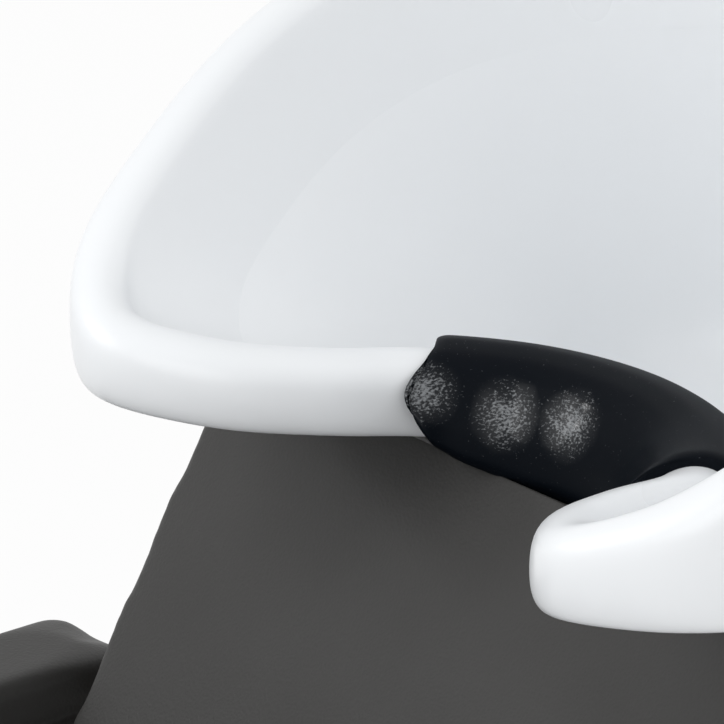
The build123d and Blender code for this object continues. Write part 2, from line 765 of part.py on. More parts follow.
lever_rod = 5.0
lever_length = 110.0
lever_knob = 13.0
lever_angle = -35.0
lever_middle = lever_start + lever_hub_width / 2
lever_turn = radians(lever_angle)
lever_tip = Vector(lever_middle, drain_y + lever_length * cos(lever_turn),
                   tilt_z + lever_length * sin(lever_turn))
with BuildPart() as tilt_lever:
    with BuildSketch(Plane.YZ.offset(lever_start)):
        with Locations((drain_y, tilt_z)):
            Circle(lever_hub)
    extrude(amount=lever_hub_width)
    rod_plane = Plane(origin=(lever_middle, drain_y, tilt_z),
                      z_dir=(0, cos(lever_turn), sin(lever_turn)))
    with BuildSketch(rod_plane):
        Circle(lever_rod)
    extrude(amount=lever_length)
    with BuildSketch(Plane.YZ.offset(lever_start)):
        with Locations((drain_y, tilt_z)):
            Circle(pin_radius + running_clearance)
    extrude(amount=lever_hub_width, mode=Mode.SUBTRACT)
    with Locations(lever_tip):
        Sphere(lever_knob, mode=Mode.SUBTRACT)
finish(tilt_lever.part, "tilt_lever")

with BuildPart() as tilt_knob:
    with Locations(lever_tip):
        Sphere(lever_knob)
finish(tilt_knob.part, "tilt_knob")

# Waste: flanged tail through the foot of the basin, its nut and the lift-out strainer
tail_radius = 20.0
tail_bore = 17.5
tail_length = 55.0
tail_step = 25.0
thread_clearance = 0.1
waste_flange = drain_radius - edge_round
waste_throat = 19.0
waste_body_radius = drain_bore - thread_clearance
waste_top = drain_level - soft_clearance
waste_seat = drain_level - drain_seat_depth
tail_end = foot_level - tail_length
with BuildPart() as waste_body:
    with BuildSketch(Plane.XZ.offset(-drain_y)):
        with BuildLine():
            Polyline((waste_throat, waste_top), (waste_flange, waste_top), (waste_flange, waste_seat),
                     (waste_body_radius, waste_seat), (waste_body_radius, foot_level - tail_step),
                     (tail_radius, foot_level - tail_step), (tail_radius, tail_end),
                     (tail_bore, tail_end), (tail_bore, foot_level - tail_step),
                     (waste_throat, foot_level - tail_step), close=True)
        make_face()
    revolve(axis=Axis((0, drain_y, 0), (0, 0, 1)))
finish(waste_body.part, "waste_body")

waste_nut_radius = 36.0
waste_nut_height = 12.0
with BuildPart() as waste_nut:
    with BuildSketch(Plane.XY.offset(foot_level - waste_nut_height)):
        with Locations((0, drain_y)):
            RegularPolygon(waste_nut_radius, 8)
            Circle(waste_body_radius + thread_clearance, mode=Mode.SUBTRACT)
    extrude(amount=waste_nut_height)
finish(waste_nut.part, "waste_nut")

strainer_radius = 23.0
strainer_cap = 3.0
strainer_depth = 22.0
strainer_wall = 1.5
strainer_slot = 3.0
strainer_slots = 8
slot_circle_share = 0.62
basket_radius = waste_throat - 2 * soft_clearance
strainer_seat = waste_top + soft_clearance
with BuildPart() as strainer:
    with BuildSketch(Plane.XZ.offset(-drain_y)):
        with BuildLine():
            Polyline((0, strainer_seat + strainer_cap),
                     (strainer_radius / 2, strainer_seat + strainer_cap),
                     (strainer_radius, strainer_seat + strainer_cap / 2),
                     (strainer_radius, strainer_seat), (basket_radius, strainer_seat),
                     (basket_radius, strainer_seat - strainer_depth),
                     (0, strainer_seat - strainer_depth), close=True)
        make_face()
    revolve(axis=Axis((0, drain_y, 0), (0, 0, 1)))
    with BuildSketch(Plane.XY.offset(strainer_seat + strainer_cap)):
        with Locations((0, drain_y)):
            with PolarLocations(basket_radius * slot_circle_share, strainer_slots):
                Circle(strainer_slot)
    extrude(amount=-strainer_depth + strainer_wall, mode=Mode.SUBTRACT)
finish(strainer.part, "hair_strainer")

# Mixer: body on the deck, swivelling cap and a lever that lifts
mixer_flange = 27.0
mixer_flange_height = 5.0
mixer_waist = 19.0
mixer_radius = 22.0
mixer_height = 62.0
mixer_waist_share = 0.3
mixer_shank = tap_hole_radius - bolt_clearance
shank_length = deck_plate + 18.0
nut_height = 10.0
cap_height = 24.0
cap_round = 4.0
lever_slot = 10.0
lever_pivot_rise = 14.0
lever_disc = 8.0
lever_reach = 40.0
lever_rise_share = 0.9
lever_tip_rise = lever_reach * lever_rise_share
lever_bar = 7.0
lever_pin = 2.5
mixer_top = seat_level + mixer_height
with BuildPart() as mixer_body:
    with BuildSketch(Plane.XZ.offset(-deck_y)):
        with BuildLine():
            Polyline((mixer_radius, mixer_top), (0, mixer_top), (0, seat_level - shank_length),
                     (mixer_shank, seat_level - shank_length), (mixer_shank, seat_level),
                     (mixer_flange, seat_level), (mixer_flange, seat_level + mixer_flange_height))
            ThreePointArc((mixer_flange, seat_level + mixer_flange_height),
                          (mixer_waist, seat_level + mixer_height * mixer_waist_share),
                          (mixer_radius, mixer_top))
        make_face()
    revolve(axis=Axis((0, deck_y, 0), (0, 0, 1)))
finish(mixer_body.part, "mixer_body")

cap_level = mixer_top + soft_clearance
cap_pivot_z = cap_level + lever_pivot_rise
with BuildPart() as mixer_cap:
    with BuildSketch(Plane.XY.offset(cap_level)):
        with Locations((0, deck_y)):
            Circle(mixer_radius)
    extrude(amount=cap_height)
    fillet(mixer_cap.faces().sort_by(Axis.Z)[-1].edges(), cap_round)
    with BuildSketch(Plane.YZ.offset(-lever_slot / 2)):
        with Locations((deck_y + mixer_radius / 2, cap_level + cap_height / 2 + cap_round)):
            Rectangle(2 * mixer_radius, cap_height)
    extrude(amount=lever_slot, mode=Mode.SUBTRACT)
    with BuildSketch(Plane.YZ.offset(-mixer_radius)):
        with Locations((deck_y, cap_pivot_z)):
            Circle(lever_pin)
    extrude(amount=2 * mixer_radius, mode=Mode.SUBTRACT)
finish(mixer_cap.part, "mixer_cap")

with BuildPart() as mixer_lever:
    with BuildSketch(Plane.YZ.offset(-lever_slot / 2 + soft_clearance)):
        with BuildLine():
            Polyline((deck_y, cap_pivot_z - lever_disc), (deck_y + mixer_radius, cap_pivot_z),
                     (deck_y + lever_reach, cap_pivot_z + lever_tip_rise),
                     (deck_y + lever_reach, cap_pivot_z + lever_tip_rise + lever_bar),
                     (deck_y, cap_pivot_z + lever_disc), close=True)
        make_face()
        with Locations((deck_y, cap_pivot_z)):
            Circle(lever_disc)
            Circle(lever_pin + running_clearance, mode=Mode.SUBTRACT)
    extrude(amount=lever_slot - 2 * soft_clearance)
finish(mixer_lever.part, "mixer_lever")

with BuildPart() as mixer_pin:
    with BuildSketch(Plane.YZ.offset(-mixer_radius + cap_round)):
        with Locations((deck_y, cap_pivot_z)):
            Circle(lever_pin)
    extrude(amount=2 * (mixer_radius - cap_round))
finish(mixer_pin.part, "mixer_lever_pin")

# Spray: socket on the deck and the handset that stands in it
socket_flange = 23.0
socket_flange_height = 4.0
socket_radius = 16.0
socket_height = 24.0
socket_shank = spray_hole_radius - bolt_clearance
grip_radius = 10.5
grip_foot = 9.5
grip_depth = 34.0
grip_height = 105.0
head_radius = 29.0
spray_head_depth = 20.0
head_tilt = 50.0
head_lead_share = 0.8
head_lift_share = 0.45
head_rear_share = 0.75
face_depth = 3.0
socket_bore = grip_radius + 2 * soft_clearance
with BuildPart() as spray_socket:
    with BuildSketch(Plane.XZ.offset(-spray_y)):
        with BuildLine():
            Polyline((spray_offset + socket_bore, seat_level - shank_length),
                     (spray_offset + socket_shank, seat_level - shank_length),
                     (spray_offset + socket_shank, seat_level),
                     (spray_offset + socket_flange, seat_level),
                     (spray_offset + socket_flange, seat_level + socket_flange_height),
                     (spray_offset + socket_radius, seat_level + 2 * socket_flange_height),
                     (spray_offset + socket_radius, seat_level + socket_height),
                     (spray_offset + socket_bore, seat_level + socket_height), close=True)
        make_face()
    revolve(axis=Axis((spray_offset, spray_y, 0), (0, 0, 1)))
finish(spray_socket.part, "spray_socket")

for name, x, y, bore, radius in (("mixer_nut", 0, deck_y, mixer_shank, tap_nut_radius),
                                 ("socket_nut", spray_offset, spray_y, socket_shank, spray_nut_radius)):
    with BuildPart() as nut:
        with BuildSketch(Plane.XY.offset(seat_level - deck_plate - nut_height)):
            with Locations((x, y)):
                RegularPolygon(radius, 6)
                Circle(bore + thread_clearance, mode=Mode.SUBTRACT)
        extrude(amount=nut_height)
    finish(nut.part, name)

grip_low = seat_level - grip_depth
neck_join = Vector(spray_offset, spray_y, seat_level + grip_height)
head_turn = radians(head_tilt)
head_offset = Vector(0, -head_radius * head_lead_share, head_radius * head_lift_share)
head_plane = Plane(origin=neck_join + head_offset,
                   z_dir=(0, -sin(head_turn), -cos(head_turn)))
with BuildPart() as handset:
    with BuildSketch(Plane.XY.offset(grip_low)):
        with Locations((spray_offset, spray_y)):
            Circle(grip_foot)
    with BuildSketch(Plane.XY.offset(seat_level + socket_height)):
        with Locations((spray_offset, spray_y)):
            Circle(grip_radius)
    with BuildSketch(Plane.XY.offset(neck_join.Z)):
        with Locations((spray_offset, spray_y)):
            Circle(grip_foot)
    loft()
    with Locations(neck_join):
        Sphere(grip_radius + face_depth)
    with BuildSketch(head_plane.offset(-spray_head_depth / 2)):
        Circle(head_radius * head_rear_share)
    with BuildSketch(head_plane.offset(spray_head_depth / 2)):
        Circle(head_radius)
    loft()
finish(handset.part, "spray_handset")

nozzle_radius = 1.5
nozzle_circle_share = 0.66
nozzle_count = 12
with BuildPart() as spray_face:
    with BuildSketch(head_plane.offset(spray_head_depth / 2)):
        Circle(head_radius - face_depth)
        with PolarLocations(head_radius * nozzle_circle_share, nozzle_count):
            Circle(nozzle_radius, mode=Mode.SUBTRACT)
    extrude(amount=face_depth)
finish(spray_face.part, "spray_face")

# Pedestal: tapered shell round the column, with a service door in its flat rear wall
shell_wall = 5.0
shell_top = 540.0
shell_corner = 28.0
shell_low_width = 300.0
shell_high_width = 230.0
shell_low_front = 130.0
shell_high_front = 75.0
shell_rear = 125.0
door_half = 68.0
door_low = 130.0
door_high = 470.0
door_corner = 12.0
knuckle_radius = 4.0
knuckle_length = 20.0
knuckle_pin = 2.0
leaf_thickness = 2.0
leaf_length = 16.0
knuckle_gap = 0.5
door_pin_head_share = 0.9
hinge_rows = (190.0, 410.0)
rear_wall = drain_y + shell_rear

# Inset from the outside and levels of the two lofted bodies, the second one cut away
shell_lofts = ((0, (0, shell_top), Mode.ADD), (shell_wall, (0, shell_top - shell_wall), Mode.SUBTRACT))
bar_slot = 1.0
hinge_x = -door_half - knuckle_radius
hinge_y = rear_wall + knuckle_radius
with BuildPart() as pedestal_shell:
    for inset, levels, mode in shell_lofts:
        for level, width, front in zip(levels, (shell_low_width, shell_high_width),
                                       (shell_low_front, shell_high_front)):
            with BuildSketch(Plane.XY.offset(level)):
                with Locations((0, drain_y + (shell_rear - front) / 2)):
                    RectangleRounded(width - 2 * inset, shell_rear + front - 2 * inset,
                                     shell_corner - inset)
        loft(ruled=True, mode=mode)
    with BuildSketch(Plane.XY.offset(shell_top)):
        with Locations((0, drain_y)):
            Rectangle(column_size + 2 * soft_clearance, column_size + 2 * soft_clearance)
    extrude(amount=-2 * shell_wall, mode=Mode.SUBTRACT)
    with BuildSketch(Plane.XZ.offset(-rear_wall)):
        with Locations((0, (door_low + door_high) / 2)):
            RectangleRounded(2 * door_half, door_high - door_low, door_corner)
    extrude(amount=2 * shell_wall, both=True, mode=Mode.SUBTRACT)
    with BuildSketch(Plane.YZ.offset(-shell_low_width)):
        with Locations((base_bar_y[2], foot_height + base_height / 2)):
            Rectangle(tube + 2 * bar_slot, base_height + 2 * bar_slot)
    extrude(amount=2 * shell_low_width, mode=Mode.SUBTRACT)
    for row in hinge_rows:
        with BuildSketch(Plane.XY.offset(row)):
            with Locations((hinge_x, hinge_y)):
                Circle(knuckle_radius)
            with Locations((hinge_x - leaf_length / 2, rear_wall + leaf_thickness / 2)):
                Rectangle(leaf_length, leaf_thickness)
            with Locations((hinge_x, hinge_y)):
                Circle(knuckle_pin + running_clearance, mode=Mode.SUBTRACT)
        extrude(amount=knuckle_length)
finish(pedestal_shell.part, "pedestal_shell")

pull_width = 60.0
pull_depth = 9.0
pull_height = 12.0
pull_taper = 12
with BuildPart() as service_door:
    with BuildSketch(Plane.XZ.offset(-rear_wall)):
        with Locations((0, (door_low + door_high) / 2)):
            RectangleRounded(2 * (door_half - panel_clearance), door_high - door_low
                             - 2 * panel_clearance, door_corner - panel_clearance)
    extrude(amount=shell_wall)
    with BuildSketch(Plane.XY.offset(door_high - 2 * tube)):
        with Locations((door_half / 3, rear_wall - leaf_thickness + pull_depth / 2)):
            Rectangle(pull_width, pull_depth)
    extrude(amount=pull_height, taper=pull_taper)
    for row in hinge_rows:
        with BuildSketch(Plane.XY.offset(row + knuckle_length + knuckle_gap)):
            with Locations((hinge_x, hinge_y)):
                Circle(knuckle_radius)
            with Locations((hinge_x + leaf_length / 2, rear_wall + leaf_thickness / 2)):
                Rectangle(leaf_length, leaf_thickness)
            with Locations((hinge_x, hinge_y)):
                Circle(knuckle_pin + running_clearance, mode=Mode.SUBTRACT)
        extrude(amount=knuckle_length)
finish(service_door.part, "service_door")

with BuildPart() as door_pins:
    for row in hinge_rows:
        with BuildSketch(Plane.XY.offset(row)):
            with Locations((hinge_x, hinge_y)):
                Circle(knuckle_pin)
        extrude(amount=2 * knuckle_length + 2 * knuckle_gap)
        with BuildSketch(Plane.XY.offset(row + 2 * knuckle_length + 2 * knuckle_gap)):
            with Locations((hinge_x, hinge_y)):
                Circle(knuckle_radius * door_pin_head_share)
        extrude(amount=leaf_thickness)
finish(door_pins.part, "door_hinge_pins")
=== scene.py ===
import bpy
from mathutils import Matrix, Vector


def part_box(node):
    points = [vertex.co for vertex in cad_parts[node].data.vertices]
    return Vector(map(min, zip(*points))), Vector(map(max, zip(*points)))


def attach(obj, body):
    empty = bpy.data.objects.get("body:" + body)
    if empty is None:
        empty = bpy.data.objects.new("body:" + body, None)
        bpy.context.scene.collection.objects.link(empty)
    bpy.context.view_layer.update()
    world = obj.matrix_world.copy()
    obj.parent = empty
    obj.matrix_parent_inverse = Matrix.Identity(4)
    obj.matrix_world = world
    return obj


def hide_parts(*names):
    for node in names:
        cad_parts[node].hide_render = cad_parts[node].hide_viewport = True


bl_info = {
    "name": "Hair washing bed",
    "version": (1, 0, 0),
    "blender": (4, 5, 0),
    "location": "View3D > Sidebar > Washing bed",
    "description": "Dresses the frame of a salon hair washing bed with ceramic, gel and leather",
    "category": "Object",
}

from contextlib import contextmanager
from math import cos, exp, floor, hypot, radians, sin

import bmesh
import bpy
from bpy.props import FloatProperty, FloatVectorProperty, IntProperty, PointerProperty
from mathutils import Matrix, Vector, noise
from mathutils.bvhtree import BVHTree
from mathutils.kdtree import KDTree

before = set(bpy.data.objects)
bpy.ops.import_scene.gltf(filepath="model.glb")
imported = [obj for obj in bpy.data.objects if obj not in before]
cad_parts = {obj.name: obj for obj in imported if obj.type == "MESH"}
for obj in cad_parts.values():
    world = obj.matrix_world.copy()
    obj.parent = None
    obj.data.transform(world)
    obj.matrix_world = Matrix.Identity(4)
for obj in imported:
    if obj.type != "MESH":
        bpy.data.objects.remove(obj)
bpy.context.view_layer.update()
basin_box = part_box("basin")


# ---------------------------------------------------------------- sizes and colours


def length(name, description, default):
    return FloatProperty(name=name, description=description, default=default, unit="LENGTH")


def paint(name, description, default):
    return FloatVectorProperty(name=name, description=description, default=default,
                               subtype="COLOR", size=3, min=0, max=1)


class BasinSizes(bpy.types.PropertyGroup):
    half_width: length("Half width", "From the middle to the crest of the rim", 0.264)
    reach: length("Reach", "From the neck point to past the deck", 0.400)
    neck_height: length("Neck height", "Rim level at the neck rest", 0.890)
    rim_rise: length("Rim rise", "How far the rim climbs to the deck", 0.170)
    skirt_drop: length("Skirt drop", "How far the skirt hangs below the neck point", 0.050)
    deck_width: length("Deck width", "Width of the rolled rim at the back", 0.090)
    rim_round: length("Rim round", "Height of the rolled rim's round", 0.016)
    wall: length("Wall", "Thickness of the ceramic", 0.012)
    bowl_depth: length("Bowl depth", "From the neck point down to the drain", 0.150)
    bowl_half_width: length("Bowl half width", "Half of the bowl's waist across", 0.205)
    bowl_half_length: length("Bowl half length", "Half of the bowl's waist along", 0.132)
    bowl_middle: length("Bowl middle", "From the neck point to the drain, along", 0.217)
    waist_drop: length("Waist drop", "From the neck point down to the waist", 0.062)
    foot_radius: length("Foot radius", "Radius of the foot ring", 0.085)
    foot_depth: length("Foot depth", "Height of the foot under the drain", 0.030)
    foot_growth: length("Foot growth", "How far the foot's neck stands out", 0.034)
    drain_radius: length("Drain radius", "Radius of the drain's seat", 0.032)
    drain_bore: length("Drain bore", "Radius of the hole in the foot", 0.024)
    drain_seat: length("Drain seat", "Depth of the drain's seat", 0.004)
    tap_seat: length("Tap seat", "Radius of the ground seat for the mixer", 0.030)
    spray_seat: length("Spray seat", "Radius of the ground seat for the spray", 0.026)
    seat_depth: length("Seat depth", "Depth of both ground seats", 0.004)
    spray_offset: length("Spray offset", "From the middle to the hand spray", 0.105)
    spray_inset: length("Spray inset", "From the mixer's line to the spray's", 0.008)


class GelSizes(bpy.types.PropertyGroup):
    clearance: length("Clearance", "Gap between the gel and the rim's sides", 0.003)
    seat_gap: length("Seat gap", "Gap between the gel and the crest", 0.0003)
    dent_depth: length("Dent depth", "Depth of the hollows that necks have pressed", 0.0016)
    dent_radius: length("Dent radius", "Reach of each hollow", 0.022)


class PaddingSizes(bpy.types.PropertyGroup):
    voxel: length("Voxel", "Grid that the padded pieces are remeshed on", 0.006)
    arm_voxel: length("Arm voxel", "Grid of the arm pads", 0.004)
    seat_travel: length("Seat travel", "Most that a seat cushion's leather may swell", 0.007)
    back_travel: length("Back travel", "Most that the backrest's leather may swell", 0.002)
    back_rise: length("Back rise", "Stretch of the backrest's leather up under the rim", 0.011)
    back_spread: length("Back spread", "Widening of the backrest's leather above the arms", 0.012)
    arm_travel: length("Arm travel", "Most that an arm pad's leather may swell", 0.003)
    slack: length("Slack", "How much smaller a piece starts before it swells", 0.003)
    seam_rise: length("Seam rise", "Height of a seam above the cushion's board", 0.009)
    seam_depth: length("Seam depth", "Depth of the groove that a seam pulls", 0.0018)
    seam_reach: length("Seam reach", "Half width of that groove", 0.003)
    stitch: length("Stitch", "Length of one stitch", 0.0034)
    pitch: length("Pitch", "From one stitch to the next", 0.0052)
    thread: length("Thread", "Radius of the thread", 0.00042)
    pressure: FloatProperty(name="Pressure", description="Pressure inside the leather",
                            default=4.0, min=0)
    frames: IntProperty(name="Frames", description="Steps of the simulation", default=20, min=1)


class BedColours(bpy.types.PropertyGroup):
    glaze: paint("Glaze", "White glaze of the basin", (0.86, 0.88, 0.90))
    gel: paint("Gel", "Black gel of the neck rest", (0.0028, 0.0042, 0.0066))
    leather: paint("Leather", "Dark warm grey leather", (0.0215, 0.0208, 0.0197))
    panel: paint("Panel", "Near black side panels", (0.010, 0.009, 0.010))
    cap: paint("Cap", "Black boards under the arm pads", (0.006, 0.006, 0.006))
    ply: paint("Plywood", "Birch plywood of the boards", (0.52, 0.37, 0.22))
    coat: paint("Powder coat", "Black coat of the steel frame", (0.020, 0.020, 0.022))
    zinc: paint("Zinc", "Zinc plated pins and bolts", (0.58, 0.59, 0.60))
    chrome: paint("Chrome", "Chrome of the mixer and the spray", (0.80, 0.81, 0.83))
    brass: paint("Brass", "Brass nuts and waste", (0.66, 0.48, 0.20))
    plastic: paint("Plastic", "Black moulded shell", (0.024, 0.024, 0.026))
    thread: paint("Thread", "Sewing thread of the leather", (0.030, 0.029, 0.028))
    floor: paint("Floor", "Pale studio floor", (0.86, 0.86, 0.86))


class StageSizes(bpy.types.PropertyGroup):
    azimuth: FloatProperty(name="Azimuth", description="Camera's turn from the foot end",
                           default=radians(50), subtype="ANGLE")
    elevation: FloatProperty(name="Elevation", description="Camera's height angle",
                             default=radians(22), subtype="ANGLE")
    distance: length("Distance", "From the camera to what it looks at", 2.400)
    lens: FloatProperty(name="Lens", description="Focal length on a 36 mm sensor", default=249.0,
                        min=1, unit="CAMERA")
    aim_right: length("Aim right", "From the neck point to the picture's middle, to the right",
                      -0.09368)
    aim_up: length("Aim up", "From the neck point to the picture's middle, upwards", 0.02468)


# ---------------------------------------------------------------- working with meshes


WELD = 0.00001
COPY_WELD = 0.00005
CREASE_GAP = 0.00002


def deselect():
    if bpy.context.mode != "OBJECT":
        bpy.ops.object.mode_set(mode="OBJECT")
    bpy.ops.object.select_all(action="DESELECT")


def select_only(piece):
    deselect()
    piece.select_set(True)
    bpy.context.view_layer.objects.active = piece


def primitive(kind, name, **settings):
    """Add a primitive with nothing else selected, and name it."""
    deselect()
    getattr(bpy.ops.mesh, f"primitive_{kind}_add")(**settings)
    piece = bpy.context.object
    piece.name = piece.data.name = name
    return piece


def settle(piece):
    """Put a piece's place, turn and size into its mesh."""
    select_only(piece)
    bpy.ops.object.transform_apply(location=True, rotation=True, scale=True)


@contextmanager
def editing(piece):
    """Edit mode on one piece, with its bmesh."""
    select_only(piece)
    bpy.ops.object.mode_set(mode="EDIT")
    yield bmesh.from_edit_mesh(piece.data)
    bmesh.update_edit_mesh(piece.data)
    bpy.ops.object.mode_set(mode="OBJECT")


def outward(piece):
    """Merge doubles and point all faces outwards."""
    with editing(piece):
        bpy.ops.mesh.select_all(action="SELECT")
        bpy.ops.mesh.remove_doubles(threshold=WELD)
        bpy.ops.mesh.normals_make_consistent(inside=False)


def finish_with(piece, kind, **settings):
    """Add a modifier and apply it."""
    select_only(piece)
    modifier = piece.modifiers.new(kind.title(), kind)
    for name, value in settings.items():
        setattr(modifier, name, value)
    bpy.ops.object.modifier_apply(modifier=modifier.name)


def smooth(piece, angle=None):
    select_only(piece)
    if angle is None:
        bpy.ops.object.shade_smooth()
    else:
        bpy.ops.object.shade_smooth_by_angle(angle=angle)


def skin(name, rings, closed=False):
    """Surface through rings of equal count: a circle whose edge is extruded ring by ring."""
    count = len(rings[0])
    piece = primitive("circle", name, vertices=count, fill_type="NOTHING")
    with editing(piece) as mesh:
        for vertex, spot in zip(mesh.verts, rings[0]):
            vertex.co = spot
        places = {tuple(vertex.co): index for index, vertex in enumerate(mesh.verts)}
        bpy.ops.mesh.select_all(action="SELECT")
        for ring in rings[1:]:
            bpy.ops.mesh.extrude_edges_move()
            mesh = bmesh.from_edit_mesh(piece.data)
            fresh = {places[tuple(v.co)]: v for v in mesh.verts if v.select}
            for index, vertex in fresh.items():
                vertex.co = ring[index]
            places = {tuple(vertex.co): index for index, vertex in fresh.items()}
        bmesh.update_edit_mesh(piece.data)
        bpy.ops.mesh.select_mode(type="EDGE")
        bpy.ops.mesh.select_all(action="DESELECT")
        bpy.ops.mesh.select_non_manifold()
        if closed:
            bpy.ops.mesh.bridge_edge_loops()
        else:
            bpy.ops.mesh.fill_holes(sides=0)
        bpy.ops.mesh.select_mode(type="VERT")
    outward(piece)
    return piece


def crease(piece, rings, share=1.0):
    """Crease the edges that run along rings of the skin."""
    spots = KDTree(sum(len(ring) for ring in rings))
    for index, spot in enumerate(spot for ring in rings for spot in ring):
        spots.insert(spot, index)
    spots.balance()
    with editing(piece) as mesh:
        bpy.ops.mesh.select_mode(type="EDGE")
        bpy.ops.mesh.select_all(action="DESELECT")
        for edge in mesh.edges:
            near = all(spots.find(vertex.co)[2] < CREASE_GAP for vertex in edge.verts)
            edge.select_set(near)
        bpy.ops.transform.edge_crease(value=share)
        bpy.ops.mesh.select_mode(type="VERT")


def through(points, steps, closed=True):
    """Smooth line through points, with some steps from each to the next."""
    points = [Vector(point) for point in points]
    count = len(points)
    spans = count if closed else count - 1

    def at(index):
        if closed:
            return points[index % count]
        if index < 0:
            return 2 * points[0] - points[1]
        if index >= count:
            return 2 * points[-1] - points[-2]
        return points[index]

    line = []
    for index in range(spans):
        p0, p1, p2, p3 = (at(index + k) for k in (-1, 0, 1, 2))
        d0, d1, d2 = (p1 - p0).length, (p2 - p1).length, (p3 - p2).length
        m1 = ((p1 - p0) * d1 / d0 + (p2 - p1) * d0 / d1) * d1 / (d0 + d1)
        m2 = ((p2 - p1) * d2 / d1 + (p3 - p2) * d1 / d2) * d1 / (d1 + d2)
        for step in range(steps):
            t = step / steps
            line.append(p1 * (2 * t**3 - 3 * t**2 + 1) + m1 * (t**3 - 2 * t**2 + t)
                        + p2 * (3 * t**2 - 2 * t**3) + m2 * (t**3 - t**2))
    if not closed:
        line.append(points[-1])
    return line


def reshape(piece, moved):
    """Move each vertex by a function of its place and normal, which are all read first."""
    points = [(v.co.copy(), v.normal.copy()) for v in piece.data.vertices]
    for vertex, (place, normal) in zip(piece.data.vertices, points):
        vertex.co = moved(place, normal)


def dress(piece, finish, body, slot, *nodes):
    """Give a piece its finish and its body, and hide the nodes that it stands for. The slot is not
    used.
    """
    piece.data.materials.clear()
    piece.data.materials.append(finish)
    if nodes:
        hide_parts(*nodes)
    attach(piece, body)
    return piece


# ---------------------------------------------------------------- materials


class Value:
    """A node's output that takes part in sums."""

    def __init__(self, surface, socket):
        self.surface = surface
        self.socket = socket

    def __add__(self, other):
        return self.surface.maths("ADD", self, other)

    def __mul__(self, other):
        return self.surface.maths("MULTIPLY", self, other)


class Surface:
    """A material with its principled shader and the nodes that feed it."""

    def __init__(self, name, colour, **constants):
        self.material = bpy.data.materials.new(name)
        self.material.use_nodes = True
        self.tree = self.material.node_tree
        self.shader = self.tree.nodes["Principled BSDF"]
        self.colour = tuple(colour)
        self.shader.inputs["Base Color"].default_value = (*self.colour, 1)
        for socket, value in constants.items():
            self.shader.inputs[socket.replace("_", " ")].default_value = value
        self.place = self.node("ShaderNodeTexCoord", {}, {}, "Object")

    def node(self, kind, settings, sockets, output=0):
        """Add a node: its settings first, then the values or links of its sockets."""
        node = self.tree.nodes.new(kind)
        for name, value in settings.items():
            if name == "stops":
                ramp = node.color_ramp
                while len(ramp.elements) < len(value):
                    ramp.elements.new(0.5)
                for element, (spot, colour) in zip(ramp.elements, value):
                    element.position = spot
                    element.color = (*colour, 1)
            else:
                setattr(node, name, value)
        for name, value in sockets.items():
            if isinstance(value, Value):
                self.tree.links.new(value.socket, node.inputs[name])
            else:
                node.inputs[name].default_value = value
        return Value(self, node.outputs[output])

    def maths(self, operation, *values):
        return self.node("ShaderNodeMath", {"operation": operation}, dict(enumerate(values)))

    def stretched(self, scale):
        """Place of the surface, scaled along each axis."""
        return self.node("ShaderNodeMapping", {}, {"Vector": self.place, "Scale": scale})

    def noise(self, scale, detail=3.0, rough=0.5, place=None):
        return self.node("ShaderNodeTexNoise", {}, {"Vector": place or self.place, "Scale": scale,
                                                    "Detail": detail, "Roughness": rough})

    def cells(self, scale, feature="SMOOTH_F1", place=None):
        return self.node("ShaderNodeTexVoronoi", {"feature": feature},
                         {"Vector": place or self.place, "Scale": scale}, "Distance")

    def ramp(self, value, *stops):
        return self.node("ShaderNodeValToRGB", {"stops": stops}, {"Fac": value})

    def spread(self, value, low, high, to_low=0.0, to_high=1.0):
        """Map a value from one range to another, clamped."""
        return self.node("ShaderNodeMapRange", {}, {"Value": value, "From Min": low,
                                                    "From Max": high, "To Min": to_low,
                                                    "To Max": to_high})

    def near(self, spot, reach):
        """1 at a spot, falling to 0 at its reach."""
        gap = self.node("ShaderNodeVectorMath", {"operation": "DISTANCE"},
                        {0: self.place, 1: spot}, "Value")
        return self.spread(gap, reach, 0.0)

    def height(self, axis):
        return self.node("ShaderNodeSeparateXYZ", {}, {"Vector": self.place}, axis)

    def shades(self, value, dark, light):
        """Colour between a darker and a lighter share of the base colour."""
        low = tuple(channel * dark for channel in self.colour)
        high = tuple(min(1, channel * light) for channel in self.colour)
        return self.ramp(value, (0.0, low), (1.0, high))

    def bump(self, height, distance, strength=1.0, below=None):
        sockets = {"Height": height, "Distance": distance, "Strength": strength}
        if below is not None:
            sockets["Normal"] = below
        return self.node("ShaderNodeBump", {}, sockets)

    def feed(self, **links):
        for socket, value in links.items():
            self.tree.links.new(value.socket, self.shader.inputs[socket.replace("_", " ")])
        return self.material


def glaze(colour):
    """Gloss white glaze: faint waves in the surface, a pinhole here and there."""
    s = Surface("white glaze", colour, Roughness=0.28, IOR=1.5, Coat_Weight=0.12)
    s.shader.inputs["Coat Roughness"].default_value = 0.18
    waves = s.bump(s.noise(7.0, 1.0), 0.0003, 0.25)
    pits = s.spread(s.cells(70.0, "F1"), 0.02, 0.0)
    surface = s.bump(pits * -1.0, 0.0001, 0.2, waves)
    rough = s.spread(s.noise(6.0, 1.0), 0.0, 1.0, 0.25, 0.33)
    tone = s.shades(s.noise(3.0, 2.0), 0.98, 1.01)
    return s.feed(Base_Color=tone, Roughness=rough, Normal=surface)


# Painted highlight: the light grey that the gel's base colour turns to on rubbed wrinkles,
# standing in for glints of the lamps.
PAINTED_GLINT_COLOUR = (0.20, 0.21, 0.22)


